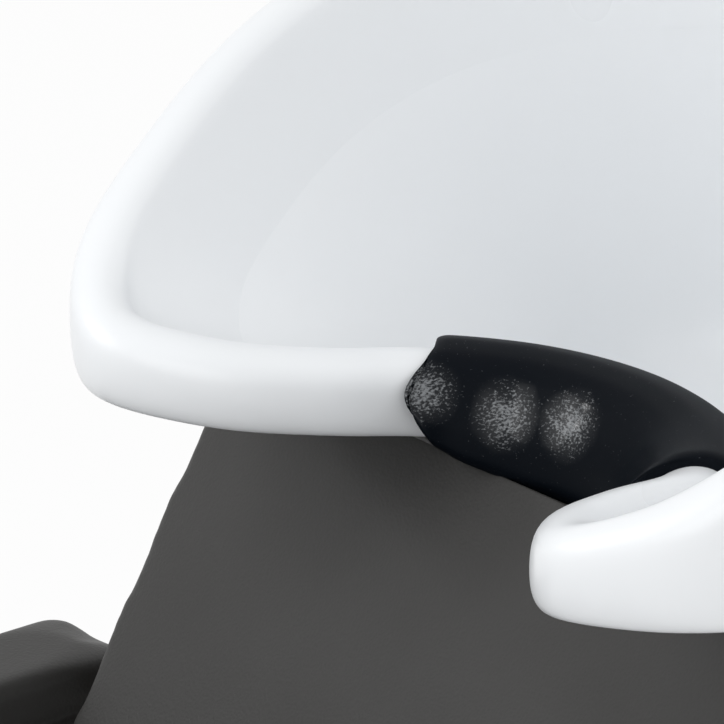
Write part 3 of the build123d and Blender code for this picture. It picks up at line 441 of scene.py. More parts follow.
def gel(colour, spots, reach):
    """Black gel: satin with a fine grain, glossy and wrinkled where necks have rubbed it, with
    painted glints (light grey base colour on the rubbed wrinkles) standing in for highlights.
    """
    s = Surface("black gel", colour, Roughness=0.42, IOR=1.32)
    s.shader.inputs["Specular IOR Level"].default_value = 0.1
    s.shader.inputs["Coat Roughness"].default_value = 0.14
    rub = s.near(spots[0], reach)
    for spot in spots[1:]:
        rub = s.maths("MAXIMUM", rub, s.near(spot, reach))
    grain = s.noise(1500.0, 2.0, 0.6)
    wrinkles = s.noise(700.0, 3.0, 0.65, s.stretched((1.0, 0.7, 1.4)))
    fine = s.bump(grain, 0.00006, 0.5)
    deep = s.bump(wrinkles * rub, 0.0009, 0.9, fine)
    rough = s.spread(rub, 0.0, 1.0, 0.5, 0.3)
    worn = s.spread(rub + s.noise(60.0, 3.0) * 0.4, 0.3, 1.2, 0.0, 0.7)
    # Painted glints: where wrinkles cross the rubbed patches, the base colour is pushed towards a
    # light grey as a painted highlight.
    painted_glints = s.spread(wrinkles + rub * 0.34, 0.68, 0.84)
    tone = s.ramp(painted_glints, (0.0, colour), (1.0, PAINTED_GLINT_COLOUR))
    return s.feed(Base_Color=tone, Roughness=rough, Coat_Weight=worn, Normal=deep)


def leather(colour):
    """Smooth leather: pebbled grain, fine pores, worn a little glossier in broad areas."""
    s = Surface("dark leather", colour, Roughness=0.5, IOR=1.45)
    s.shader.inputs["Sheen Weight"].default_value = 0.05
    s.shader.inputs["Sheen Roughness"].default_value = 0.4
    s.shader.inputs["Sheen Tint"].default_value = (0.75, 0.73, 0.70, 1)
    warp = s.noise(160.0, 2.0)
    pebbles = s.cells(620.0)
    pores = s.noise(1900.0, 2.0)
    folds = s.noise(38.0, 4.0, 0.55)
    broad = s.bump(folds, 0.0004, 0.25)
    grain = s.bump(pebbles + warp * 0.5, 0.00025, 0.55, broad)
    skin_bump = s.bump(pores, 0.00004, 0.4, grain)
    tone = s.shades(s.noise(7.0, 3.0) * 0.6 + pebbles * 0.5, 0.86, 1.16)
    rough = s.spread(s.noise(5.0, 3.0), 0.3, 0.7, 0.44, 0.58)
    return s.feed(Base_Color=tone, Roughness=rough, Normal=skin_bump)


def board_film(name, colour, rough):
    """Textured film on a panel: a fine pressed grain and dusty scuffs low down."""
    s = Surface(name, colour, Roughness=rough)
    grain = s.bump(s.noise(900.0, 3.0, 0.6), 0.0001, 0.5)
    scuffs = s.spread(s.noise(26.0, 5.0, 0.65), 0.55, 0.8)
    low = s.spread(s.height("Z"), 0.25, 0.04)
    tone = s.shades(scuffs * low + s.noise(9.0, 2.0) * 0.2, 0.9, 2.4)
    roughness = s.spread(s.noise(40.0, 3.0), 0.3, 0.7, rough - 0.07, rough + 0.07)
    return s.feed(Base_Color=tone, Roughness=roughness, Normal=grain)


def plywood(colour):
    """Sealed birch plywood: long figure on the faces, thin glue lines on the edges."""
    s = Surface("birch plywood", colour, Roughness=0.5)
    figure = s.noise(26.0, 5.0, 0.6, s.stretched((1.0, 9.0, 1.0)))
    plies = s.node("ShaderNodeTexWave", {"bands_direction": "Z"},
                   {"Vector": s.place, "Scale": 105.0, "Distortion": 0.6})
    tone = s.shades(figure * 0.7 + plies * 0.3, 0.72, 1.18)
    grain = s.bump(figure, 0.0002, 0.35)
    return s.feed(Base_Color=tone, Normal=grain)


def powder_coat(colour):
    """Powder coated steel: orange peel and a little dust in patches."""
    s = Surface("black powder coat", colour, Roughness=0.42)
    peel = s.bump(s.cells(330.0) + s.noise(120.0, 2.0), 0.00025, 0.4)
    dust = s.spread(s.noise(17.0, 5.0, 0.6), 0.5, 0.8)
    tone = s.shades(dust, 0.95, 1.9)
    rough = s.spread(dust, 0.0, 1.0, 0.36, 0.55)
    return s.feed(Base_Color=tone, Roughness=rough, Normal=peel)


def plated(name, colour, rough, haze):
    """Plated metal: hairline turning marks, faint water spots, broad haze."""
    s = Surface(name, colour, Roughness=rough, Metallic=1.0)
    lines = s.noise(500.0, 2.0, 0.5, s.stretched((0.08, 0.08, 3.0)))
    spots = s.spread(s.cells(55.0, "F1"), 0.22, 0.12)
    cloud = s.noise(30.0, 4.0)
    roughness = s.spread(cloud + spots * 0.25, 0.3, 0.9, rough, rough + haze)
    tone = s.shades(cloud, 0.92, 1.05)
    return s.feed(Base_Color=tone, Roughness=roughness, Normal=s.bump(lines, 0.00003, 0.25))


def moulded(name, colour, rough):
    """Moulded plastic: spark eroded texture with soft rub marks."""
    s = Surface(name, colour, Roughness=rough)
    texture = s.bump(s.noise(700.0, 3.0, 0.7), 0.00012, 0.5)
    rubs = s.spread(s.noise(12.0, 5.0, 0.6), 0.45, 0.8)
    tone = s.shades(rubs, 0.95, 1.7)
    roughness = s.spread(rubs, 0.0, 1.0, rough, rough - 0.1)
    return s.feed(Base_Color=tone, Roughness=roughness, Normal=texture)


def thread(colour):
    """Twisted sewing thread."""
    s = Surface("sewing thread", colour, Roughness=0.6)
    twist = s.noise(2600.0, 2.0, 0.5, s.stretched((1.0, 1.0, 2.0)))
    return s.feed(Base_Color=s.shades(twist, 0.7, 1.5), Normal=s.bump(twist, 0.0001, 0.6))


# ---------------------------------------------------------------- basin


RIM_X_SHARES = (0, 0.21, 0.36, 0.42, 0.51, 0.63, 0.765, 0.895, 0.98, 1.0, 0.91, 0.675, 0.38, 0)
RIM_Y_SHARES = (0.125, 0.095, 0.005, -0.14, -0.275, -0.345, -0.3, -0.125, 0.1, 0.325, 0.5625,
                0.78, 0.875, 0.9)
RIM_Z_SHARES = (0, 0, 0.02, 0.08, 0.155, 0.225, 0.325, 0.57, 0.8, 0.91, 0.95, 0.98, 1.0, 1.0)
ROLL_SHARES = (0.44, 0.44, 0.44, 0.44, 0.44, 0.4, 0.355, 0.33, 0.33, 0.34, 0.38, 0.66, 0.95, 1.0)
SKIRT_SHARES = (0.84, 0.84, 0.78, 0.56, 0.32, 0.12, 0.08, 0.16, 0.3, 0.5, 0.8, 0.9, 1.0, 1.0)
BOWL_ANGLES = (-90, -76, -62, -51, -43, -36, -30, -22, -10, 6, 26, 50, 70, 90)
WALL_SHARES = (0.35, 0.7, 0.92)
WALL_FALL_POWER = 1.5
SKIRT_MIDDLE_SHARE = 0.45
CAVITY_SHARE = 0.9
BACK_SHARE = 0.9
BORE_CREASE = 0.7
CUTTER_SIDES = 64
GLAZE_ANGLE = radians(40)


def both_sides(values, sign):
    """Full ring of values from one half, mirrored across x = 0."""
    return list(values) + [sign * value for value in values[-2:0:-1]]


class Rim:
    """The basin's rings, from the neck round the wings to the deck."""

    def __init__(self, sizes):
        self.sizes = sizes
        self.neck_y = basin_box[1].y - BACK_SHARE * sizes.reach - sizes.deck_width / 2
        self.x = [sizes.half_width * share for share in both_sides(RIM_X_SHARES, -1)]
        self.y = [self.neck_y + sizes.reach * share for share in both_sides(RIM_Y_SHARES, 1)]
        self.z = [sizes.neck_height + sizes.rim_rise * s for s in both_sides(RIM_Z_SHARES, 1)]
        self.half = [sizes.deck_width * share / 2 for share in both_sides(ROLL_SHARES, 1)]
        self.low = [sizes.neck_height - sizes.skirt_drop * s for s in both_sides(SKIRT_SHARES, 1)]
        self.turns = list(BOWL_ANGLES) + [180 - turn for turn in BOWL_ANGLES[-2:0:-1]]
        self.count = len(self.x)

    def normal(self, index):
        before, after = (index - 1) % self.count, (index + 1) % self.count
        along_x, along_y = self.x[after] - self.x[before], self.y[after] - self.y[before]
        size = hypot(along_x, along_y)
        return along_y / size, -along_x / size

    def beside(self, index, step, level):
        out_x, out_y = self.normal(index)
        return (self.x[index] + step * out_x, self.y[index] + step * out_y, level)

    def crest(self, width_share, drop):
        return [self.beside(i, width_share * self.half[i], self.z[i] - drop)
                for i in range(self.count)]

    def skirt(self, inset, lift_share, lift):
        ring = []
        for i in range(self.count):
            high = self.z[i] - self.sizes.rim_round
            level = self.low[i] + (high - self.low[i]) * lift_share + lift
            ring.append(self.beside(i, self.half[i] - inset, level))
        return ring

    def bowl(self, size_share, height_share, growth, drop):
        sizes = self.sizes
        depth = sizes.waist_drop + (sizes.bowl_depth - sizes.waist_drop) * (1 - height_share)
        across = sizes.bowl_half_width * size_share + growth
        along = sizes.bowl_half_length * size_share + growth
        return self.level(across, along, sizes.neck_height - depth - drop)

    def level(self, across, along, height):
        middle = self.neck_y + self.sizes.bowl_middle
        return [(across * cos(radians(turn)), middle + along * sin(radians(turn)), height)
                for turn in self.turns]

    def bowl_rings(self, growth, drop, steps=4):
        rings = []
        for step in range(1, steps + 1):
            angle = radians(90 * step / steps)
            rings.append(self.bowl(sin(angle), 1 - cos(angle), growth, drop))
        return rings

    def wall(self, share):
        upper, lower = self.bowl(1, 1, 0, 0), self.crest(-1, self.sizes.rim_round)
        fall = share ** WALL_FALL_POWER
        return [(x0 + (x1 - x0) * share, y0 + (y1 - y0) * share, z0 + (z1 - z0) * fall)
                for (x0, y0, z0), (x1, y1, z1) in zip(upper, lower)]

    def outside(self, ring):
        """Ring on the outer face of the wall under a ring of its inner face."""
        points = []
        for i, (x, y, z) in enumerate(ring):
            before, after = ring[i - 1], ring[(i + 1) % self.count]
            along_x, along_y = after[0] - before[0], after[1] - before[1]
            size = hypot(along_x, along_y)
            growth = self.sizes.wall
            points.append((x + growth * along_y / size, y - growth * along_x / size, z - growth))
        return points

    def rings(self, steps):
        """All rings of the ceramic, from the bore up the bowl, over the rim and back."""
        sizes = self.sizes
        edge = sizes.wall / 3
        drain = sizes.neck_height - sizes.bowl_depth
        foot = drain - sizes.foot_depth
        seat = drain - sizes.drain_seat
        seat_radius = sizes.drain_radius - edge / 2
        rings = [self.level(sizes.drain_bore, sizes.drain_bore, foot),
                 self.level(sizes.drain_bore, sizes.drain_bore, seat),
                 self.level(seat_radius, seat_radius, seat),
                 self.level(sizes.drain_radius, sizes.drain_radius, drain)]
        rings += self.bowl_rings(0, 0)
        rings += [self.wall(1 - share) for share in reversed([1 - s for s in WALL_SHARES])]
        for step in range(-steps, steps + 1):
            turn = radians(90 * step / steps)
            rings.append(self.crest(sin(turn), sizes.rim_round * (1 - cos(turn))))
        rings += [self.skirt(0, SKIRT_MIDDLE_SHARE, 0), self.skirt(edge / 2, 0, edge),
                  self.skirt(sizes.wall / 2, 0, 0), self.skirt(sizes.wall - edge / 2, 0, edge),
                  self.skirt(sizes.wall, SKIRT_MIDDLE_SHARE, 0),
                  self.skirt(sizes.wall, CAVITY_SHARE, 0)]
        rings += [self.outside(self.wall(share)) for share in reversed(WALL_SHARES)]
        rings += list(reversed(self.bowl_rings(sizes.wall, sizes.wall)[1:]))
        first = radians(90 / 4)
        rings += [self.bowl(sin(first), 1 - cos(first), sizes.foot_growth, sizes.wall),
                  self.level(sizes.foot_radius, sizes.foot_radius, foot)]
        return rings


def drilled(piece, spots):
    """Cut round seats and holes down from above."""
    for index, (x, y, radius, bottom, top) in enumerate(spots):
        cutter = primitive("cylinder", f"cutter_{index}", vertices=CUTTER_SIDES, radius=radius,
                           depth=top - bottom, location=(x, y, (top + bottom) / 2))
        settle(cutter)
        finish_with(piece, "BOOLEAN", object=cutter, operation="DIFFERENCE", solver="EXACT")
        bpy.data.objects.remove(cutter)


class BED_OT_basin(bpy.types.Operator):
    """Build the glazed basin over its frame"""

    bl_idname = "bed.basin"
    bl_label = "Basin"

    def execute(self, context):
        sizes = context.scene.bed_basin
        rim = Rim(sizes)
        rings = [through(ring, 4) for ring in rim.rings(3)]
        piece = skin("basin_ceramic", rings, closed=True)
        crease(piece, [rings[0], rings[1], rings[2], rings[3], rings[-1]], BORE_CREASE)
        finish_with(piece, "SUBSURF", levels=2, render_levels=2)
        deck_y = rim.neck_y + BACK_SHARE * sizes.reach
        top = sizes.neck_height + sizes.rim_rise
        seat = top - sizes.seat_depth
        spray_y = deck_y - sizes.spray_inset
        drilled(piece, [(0, deck_y, sizes.tap_seat, seat, top + sizes.deck_width),
                        (sizes.spray_offset, spray_y, sizes.spray_seat, seat,
                         top + sizes.deck_width)])
        smooth(piece, GLAZE_ANGLE)
        dress(piece, glaze(context.scene.bed_colours.glaze), "basin", "glazed_ceramic", "basin")
        return {"FINISHED"}


# ---------------------------------------------------------------- neck rest


GEL_INSIDE_SHARES = ((-1.02, -1.1), (-1, -0.9), (-0.8, -0.3), (0, 0.05), (0.8, -0.3), (1, -0.9),
                     (1.01, -1.6), (1.02, -2.55))
GEL_OUTSIDE_SHARES = ((-1.3, -1.15), (-1.4, -0.85), (-1.05, -0.04), (0, 0.36), (0.9, 0.06),
                      (1.5, -0.85), (1.9, -1.95), (1.9, -2.95), (1.55, -3.3))
GEL_CAP_SHARE = 0.94
GEL_REACH_SHARE = 0.95
GEL_SLANT_SHARES = (0.28, 0.70, 0.20, 0.35)
GEL_APRON_SHARES = (0.14, 0.52)
GEL_EDGE_SHARE = 0.12
DENT_SHARES = ((-0.57, 0.75), (-0.14, 0.6), (-1.12, 0.4))
DENT_ACROSS_SHARE = 1.45
DENT_DROP_SHARE = 1.6


def gel_stations(steps=10, caps=5):
    """Shares along the gel from end to end, each with its thickness share."""
    ends = []
    for cap in range(caps + 1):
        turn = radians(90 * cap / caps)
        reach = GEL_CAP_SHARE + (1 - GEL_CAP_SHARE) * cos(turn)
        ends.append((reach, max(GEL_EDGE_SHARE, sin(turn))))
    middle = [(GEL_CAP_SHARE * (1 - k / (2 * steps)), 1.0) for k in range(1, 4 * steps)]
    return ends + middle + [(-share, thick) for share, thick in reversed(ends)]


class Crest:
    """Line of the rim's crest, as the gel follows it."""

    def __init__(self, rim, steps=10):
        self.line = through(rim.crest(0, 0), steps)
        self.reach = 2 * steps

    def at(self, share):
        """Spot on the crest and the way outwards, at a share from the left end to the right."""
        count = len(self.line)
        low = floor(share * self.reach)
        part = share * self.reach - low
        here, there = self.line[low % count], self.line[(low + 1) % count]
        first, last = ([self.line[(low + step + side) % count] for step in (0, 1)]
                       for side in (-4, 4))
        along = (last[0] - first[0]).lerp(last[1] - first[1], part)
        return here.lerp(there, part), Vector((along.y, -along.x, 0)).normalized()


class BED_OT_neck_rest(bpy.types.Operator):
    """Build the black gel neck rest on the rim"""

    bl_idname = "bed.neck_rest"
    bl_label = "Neck rest"

    def execute(self, context):
        basin, sizes = context.scene.bed_basin, context.scene.bed_gel
        rim = Rim(basin)
        roll = rim.half[0]
        inside = through([(a * (roll + sizes.clearance), b * basin.rim_round + sizes.seat_gap, 0)
                          for a, b in GEL_INSIDE_SHARES], 3, closed=False)
        outside = through([(a * roll, b * basin.rim_round, 0) for a, b in GEL_OUTSIDE_SHARES], 4,
                          closed=False)
        half = len(inside)
        picks = [outside[round(k * (len(outside) - 1) / (half - 1))] for k in range(half)]
        slant, slant_middle, slant_over, slant_under = GEL_SLANT_SHARES
        apron, apron_rise = GEL_APRON_SHARES
        crest = Crest(rim)
        walls = [(k, inside[k], picks[k]) for k in range(half)]
        walls += [(k, picks[k], inside[k]) for k in reversed(range(half))]
        rings = []
        for share, thick in gel_stations():
            ring = []
            for k, point, mate in walls:
                place = k / (half - 1)
                width = slant_over if place < slant_middle else slant_under
                reach = GEL_REACH_SHARE + slant * exp(-((place - slant_middle) / width) ** 2)
                spot, way = crest.at(share * reach)
                middle = (point + mate) / 2
                across, up, _ = middle + (point - middle) * thick
                fall = apron - apron_rise * share * share
                drop = fall * max(0.0, -up - basin.rim_round)
                ring.append(spot + way * across + Vector((0, 0, up - drop)))
            rings.append(ring)
        piece = skin("neck_rest_gel", rings)
        finish_with(piece, "SUBSURF", levels=2, render_levels=2)
        dents = self.dents(crest, roll, basin.rim_round)

        def dented(place, normal):
            for spot in dents:
                fall = max(0.0, 1 - (place - spot).length / sizes.dent_radius)
                place = place - normal * sizes.dent_depth * fall * fall * (3 - 2 * fall)
            return place

        reshape(piece, dented)
        smooth(piece)
        spots = [tuple(spot) for spot in dents]
        finish = gel(context.scene.bed_colours.gel, spots, sizes.dent_radius)
        dress(piece, finish, "neck_rest", "gel_rubber", "neck_rest")
        return {"FINISHED"}

    def dents(self, crest, roll, rim_round):
        """Middles of the hollows on the face that the neck presses."""
        spots = []
        for along, drop in DENT_SHARES:
            spot, way = crest.at(along)
            fall = DENT_DROP_SHARE * rim_round * drop
            spots.append(spot + way * DENT_ACROSS_SHARE * roll - Vector((0, 0, fall)))
        return spots


# ---------------------------------------------------------------- upholstery


BACK_SLOPE = radians(60)
CUSHION_CORNER = 0.016
BACK_CORNER = 0.012
ARM_CORNER = 0.020
TOP_REACH = 0.09
SPREAD_REACH = 0.30
HELD_BAND = 0.004
TENSION = 20
BENDING = 4
FOAM_DEPTH = 0.0006
FOAM_SCALE = 9.0
SEAM_STEP = 0.0015
STITCH_DROP = 0.0035
SEAM_SWELL_SHARE = 0.35
STITCH_WIDTH_SHARE = 1.4
STITCH_LIFT_SHARE = 0.4


class Board:
    """Local frame of a padded piece: right, along and out of the board it lies on."""

    def __init__(self, node, origin, along, out):
        self.node = node
        self.origin, self.along, self.out = Vector(origin), Vector(along), Vector(out)
        self.right = self.along.cross(self.out)
        points = [self.local(v.co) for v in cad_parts[node].data.vertices]
        self.low = Vector(tuple(min(p[k] for p in points) for k in range(3)))
        self.high = Vector(tuple(max(p[k] for p in points) for k in range(3)))

    def local(self, point):
        offset = point - self.origin
        return Vector((offset.dot(self.right), offset.dot(self.along), offset.dot(self.out)))

    def world(self, point):
        return self.origin + self.right * point[0] + self.along * point[1] + self.out * point[2]

    def stretched(self, place, rise, spread):
        """A spot of the upper end, drawn upwards and out to the sides."""
        across, along, _ = self.local(place)
        top = max(0.0, min(1.0, (along - self.high.y) / TOP_REACH + 1)) ** 2
        side = max(0.0, min(1.0, ((along - self.high.y) / SPREAD_REACH + 1) * 3))
        return place + self.along * rise * top + self.right * spread * side * across / self.high.x

    def loop(self, rise, corner, step):
        """Evenly spaced points round the piece at a height, with rounded corners."""
        x0, x1 = self.low.x, self.high.x
        y0, y1 = self.low.y, self.high.y
        corners = ((x1, y0, -90), (x1, y1, 0), (x0, y1, 90), (x0, y0, 180))
        outline = []
        for x, y, start in corners:
            middle_x = x - corner if x == x1 else x + corner
            middle_y = y - corner if y == y1 else y + corner
            for part in range(9):
                angle = radians(start + 90 * part / 8)
                outline.append(Vector((middle_x + corner * cos(angle),
                                       middle_y + corner * sin(angle), self.low.z + rise)))
        return spaced([self.world(point) for point in outline], step)


def spaced(outline, step):
    """Points at one distance along a closed outline."""
    runs = [(a, b) for a, b in zip(outline, outline[1:] + outline[:1]) if (b - a).length > 0]
    total = sum((b - a).length for a, b in runs)
    count = round(total / step)
    step = total / count
    points, done = [], 0.0
    for a, b in runs:
        run = (b - a).length
        while done < run:
            points.append(a.lerp(b, done / run))
            done += step
        done -= run
    return points


def on_surface(piece, points):
    """Nearest places on a piece, with their normals."""
    tree = BVHTree.FromObject(piece, bpy.context.evaluated_depsgraph_get())
    return [tree.find_nearest(point)[:2] for point in points]


def copy_of(node, name):
    """A solid copy of a CAD node, merged, with its place in its mesh."""
    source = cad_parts[node]
    piece = bpy.data.objects.new(name, source.data.copy())
    bpy.context.scene.collection.objects.link(piece)
    piece.data.name = name
    select_only(piece)
    with editing(piece):
        bpy.ops.mesh.select_all(action="SELECT")
        bpy.ops.mesh.remove_doubles(threshold=COPY_WELD)
    return piece


def swollen(piece, board, travel, voxel, held):
    """Swell a padded piece with cloth pressure, pinned where it is held, capped at a travel."""
    sizes = bpy.context.scene.bed_padding
    piece.data.remesh_voxel_size = voxel
    select_only(piece)
    bpy.ops.object.voxel_remesh()
    with editing(piece):
        bpy.ops.mesh.select_all(action="SELECT")
        bpy.ops.transform.shrink_fatten(value=-sizes.slack)
    start = [vertex.co.copy() for vertex in piece.data.vertices]
    pins = piece.vertex_groups.new(name="held")
    pins.add([v.index for v in piece.data.vertices if held(board.local(v.co))], 1.0, "REPLACE")
    cloth = piece.modifiers.new("Swell", "CLOTH")
    cloth.settings.vertex_group_mass = pins.name
    cloth.settings.use_pressure = True
    cloth.settings.uniform_pressure_force = sizes.pressure
    cloth.settings.tension_stiffness = TENSION
    cloth.settings.bending_stiffness = BENDING
    cloth.settings.effector_weights.gravity = 0
    cloth.point_cache.frame_end = sizes.frames
    for step in range(1, sizes.frames + 1):
        bpy.context.scene.frame_set(step)
    select_only(piece)
    bpy.ops.object.modifier_apply(modifier=cloth.name)
    bpy.context.scene.frame_set(1)
    for vertex, before in zip(piece.data.vertices, start):
        moved = vertex.co - before
        if moved.length > travel:
            vertex.co = before + moved * travel / moved.length
    piece.vertex_groups.clear()
    finish_with(piece, "SMOOTH", factor=0.5, iterations=4)
    finish_with(piece, "SUBSURF", levels=1, render_levels=1)


def pull_seam(piece, points, depth, reach):
    """Draw the leather in along a seam, and let it stand a little proud beside it."""
    tree = KDTree(len(points))
    for index, point in enumerate(points):
        tree.insert(point, index)
    tree.balance()

    def drawn(place, normal):
        gap = tree.find(place)[2] / reach
        return place - normal * depth * (1 - SEAM_SWELL_SHARE * gap * gap) * exp(-gap * gap / 2)

    reshape(piece, drawn)


def stitched(name, piece, points, finish, body):
    """A row of stitches on a piece: one is modelled, and copied along the points."""
    sizes = bpy.context.scene.bed_padding
    one = primitive("uv_sphere", f"{name}_one", segments=6, ring_count=4, radius=1)
    one.scale = (sizes.stitch / 2, STITCH_WIDTH_SHARE * sizes.thread, sizes.thread)
    settle(one)
    smooth(one)
    spots = on_surface(piece, points)
    copies = []
    for index, (spot, normal) in enumerate(spots):
        along = (spots[(index + 1) % len(spots)][0] - spots[index - 1][0]).normalized()
        side = normal.cross(along).normalized()
        turn = Matrix((along, side, along.cross(side))).transposed().to_4x4()
        copy = bpy.data.objects.new(f"{name}_{index}", one.data.copy())
        lift = normal * sizes.thread * STITCH_LIFT_SHARE
        copy.matrix_world = Matrix.Translation(spot + lift) @ turn
        bpy.context.scene.collection.objects.link(copy)
        copies.append(copy)
    bpy.data.objects.remove(one)
    bpy.context.view_layer.update()
    deselect()
    for copy in copies:
        copy.select_set(True)
    bpy.context.view_layer.objects.active = copies[0]
    bpy.ops.object.join()
    row = bpy.context.object
    row.name = row.data.name = name
    settle(row)
    return dress(row, finish, body, "leather")


def uneven(piece, depth, scale):
    """Slow hollows and rises of foam under leather."""
    reshape(piece, lambda place, normal: place + normal * depth * noise.noise(place * scale))


def upholstered(name, board, travel, voxel, corner, finish, sewing, body, seams, stretch=None):
    """A padded piece with its stitched seams, swollen from a copy of its CAD solid."""
    sizes = bpy.context.scene.bed_padding
    piece = copy_of(board.node, name)

    def held(point):
        up = point.z - board.low.z
        return up < HELD_BAND or any(abs(up - seam) < HELD_BAND for seam in seams)

    swollen(piece, board, travel, voxel, held)
    if stretch:
        reshape(piece, lambda place, normal: board.stretched(place, *stretch))
    uneven(piece, FOAM_DEPTH, FOAM_SCALE)
    for index, seam in enumerate(seams):
        line = [spot for spot, _ in on_surface(piece, board.loop(seam, corner, SEAM_STEP))]
        pull_seam(piece, line, sizes.seam_depth, sizes.seam_reach)
        row = board.loop(seam - STITCH_DROP, corner, sizes.pitch)
        stitched(f"{name}_stitches_{index + 1}", piece, row, sewing, body)
    smooth(piece)
    dress(piece, finish, body, "leather", board.node)
    return piece


class BED_OT_upholstery(bpy.types.Operator):
    """Upholster the seat, the backrest and the leg rest"""

    bl_idname = "bed.upholstery"
    bl_label = "Upholstery"

    def execute(self, context):
        sizes, colours = context.scene.bed_padding, context.scene.bed_colours
        skin_finish = leather(colours.leather)
        sewing = thread(colours.thread)
        back_low, back_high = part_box("back_cushion")
        up, y = Vector((0, 0, 1)), Vector((0, 1, 0))
        leaning = Vector((0, cos(BACK_SLOPE), sin(BACK_SLOPE)))
        out = Vector((0, -sin(BACK_SLOPE), cos(BACK_SLOPE)))
        seat = Board("seat_cushion", (0, 0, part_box("seat_cushion")[0].z), y, up)
        legs = Board("leg_rest_cushion", (0, 0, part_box("leg_rest_cushion")[0].z), y, up)
        back = Board("back_cushion", (0, back_high.y, back_low.z), leaning, out)
        rise = sizes.seam_rise
        upholstered("seat_leather", seat, sizes.seat_travel, sizes.voxel, CUSHION_CORNER,
                    skin_finish, sewing, "frame", [rise])
        upholstered("back_leather", back, sizes.back_travel, sizes.voxel, BACK_CORNER, skin_finish,
                    sewing, "frame", [rise], (sizes.back_rise, sizes.back_spread))
        upholstered("leg_rest_leather", legs, sizes.seat_travel, sizes.voxel, CUSHION_CORNER,
                    skin_finish, sewing, "leg_rest", [rise])
        for side in ("left", "right"):
            node = f"{side}_arm_pad"
            low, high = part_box(node)
            pad = Board(node, ((low.x + high.x) / 2, 0, low.z), y, up)
            upholstered(f"{side}_arm_leather", pad, sizes.arm_travel, sizes.arm_voxel, ARM_CORNER,
                        skin_finish, sewing, "frame", [rise])
        return {"FINISHED"}


# ---------------------------------------------------------------- plain frame parts


def coat_nodes(finish, *nodes):
    """Give CAD nodes a finish."""
    for node in nodes:
        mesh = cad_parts[node].data
        mesh.materials.clear()
        mesh.materials.append(finish)


class BED_OT_finishes(bpy.types.Operator):
    """Finish the frame, the arms, the pedestal and the fittings"""

    bl_idname = "bed.finishes"
    bl_label = "Frame finishes"

    def execute(self, context):
        colours = context.scene.bed_colours
        coat_nodes(board_film("black panel film", colours.panel, 0.5), "left_arm_panel",
                   "right_arm_panel", "front_apron")
        coat_nodes(board_film("black cap board", colours.cap, 0.6), "left_arm_cap",
                   "right_arm_cap")
        coat_nodes(plywood(colours.ply), "seat_board", "back_board", "leg_rest_board")
        coat_nodes(powder_coat(colours.coat), "back_bars", "seat_rails", "seat_crossbars",
                   "seat_posts", "left_base_rail", "right_base_rail", "base_crossbars",
                   "seat_lugs", "leg_rest_arms", "column_plate", "column", "tilt_head",
                   "basin_cradle", "tilt_lever")
        coat_nodes(plated("zinc plate", colours.zinc, 0.3, 0.15), "hinge_pins", "cradle_bolts",
                   "pivot_pins", "mixer_lever_pin", "door_hinge_pins")
        coat_nodes(plated("chrome plate", colours.chrome, 0.06, 0.06), "mixer_body", "mixer_cap",
                   "mixer_lever", "hair_strainer", "spray_socket", "spray_handset")
        coat_nodes(plated("turned brass", colours.brass, 0.25, 0.12), "mixer_nut", "socket_nut",
                   "waste_nut", "waste_body")
        coat_nodes(moulded("black moulding", colours.plastic, 0.5), "pedestal_shell",
                   "service_door", "tilt_knob", "spray_face", "levelling_feet")
        return {"FINISHED"}


# ---------------------------------------------------------------- stage


LIT_SPOT = (0, 0.35, 0.9)
LAMPS = (("key_lamp", (-0.7, -2.1, 2.7), 2.4, 29), ("fill_lamp", (2.2, -1.4, 1.9), 2.4, 17),
         ("side_lamp", (-1.5, -1.0, 1.8), 0.3, 2.5), ("back_lamp", (0.6, 2.4, 2.6), 2.4, 6))
WORLD_STRENGTH = 0.72
FLOOR_SIZE = 80
FLOOR_WHITE_SHARE = 0.93


def soft_lamp(name, spot, target, size, power):
    deselect()
    bpy.ops.object.light_add(type="AREA", location=spot)
    lamp = bpy.context.object
    lamp.name = name
    lamp.data.shape = "DISK"
    lamp.data.size = size
    lamp.data.energy = power
    lamp.rotation_euler = (Vector(target) - Vector(spot)).to_track_quat("-Z", "Y").to_euler()
    lamp.visible_camera = False
    return lamp


def white_behind(tree, lit, output, socket, share):
    """Show plain white to the camera and in reflections, and keep the light as it is."""
    path = tree.nodes.new("ShaderNodeLightPath")
    seen = tree.nodes.new("ShaderNodeMath")
    seen.operation = "MAXIMUM"
    tree.links.new(path.outputs["Is Camera Ray"], seen.inputs[0])
    tree.links.new(path.outputs["Is Glossy Ray"], seen.inputs[1])
    both = tree.nodes.new("ShaderNodeMath")
    both.operation = "MAXIMUM"
    tree.links.new(seen.outputs[0], both.inputs[0])
    tree.links.new(path.outputs["Is Transmission Ray"], both.inputs[1])
    part = tree.nodes.new("ShaderNodeMath")
    part.operation = "MULTIPLY"
    part.inputs[1].default_value = share
    tree.links.new(both.outputs[0], part.inputs[0])
    mix = tree.nodes.new("ShaderNodeMixShader")
    plain = tree.nodes.new("ShaderNodeBackground" if socket == "World" else "ShaderNodeEmission")
    plain.inputs["Color"].default_value = (1, 1, 1, 1)
    plain.inputs["Strength"].default_value = 1.0
    tree.links.new(part.outputs[0], mix.inputs[0])
    tree.links.new(lit, mix.inputs[1])
    tree.links.new(plain.outputs[0], mix.inputs[2])
    tree.links.new(mix.outputs[0], output.inputs["Surface"])


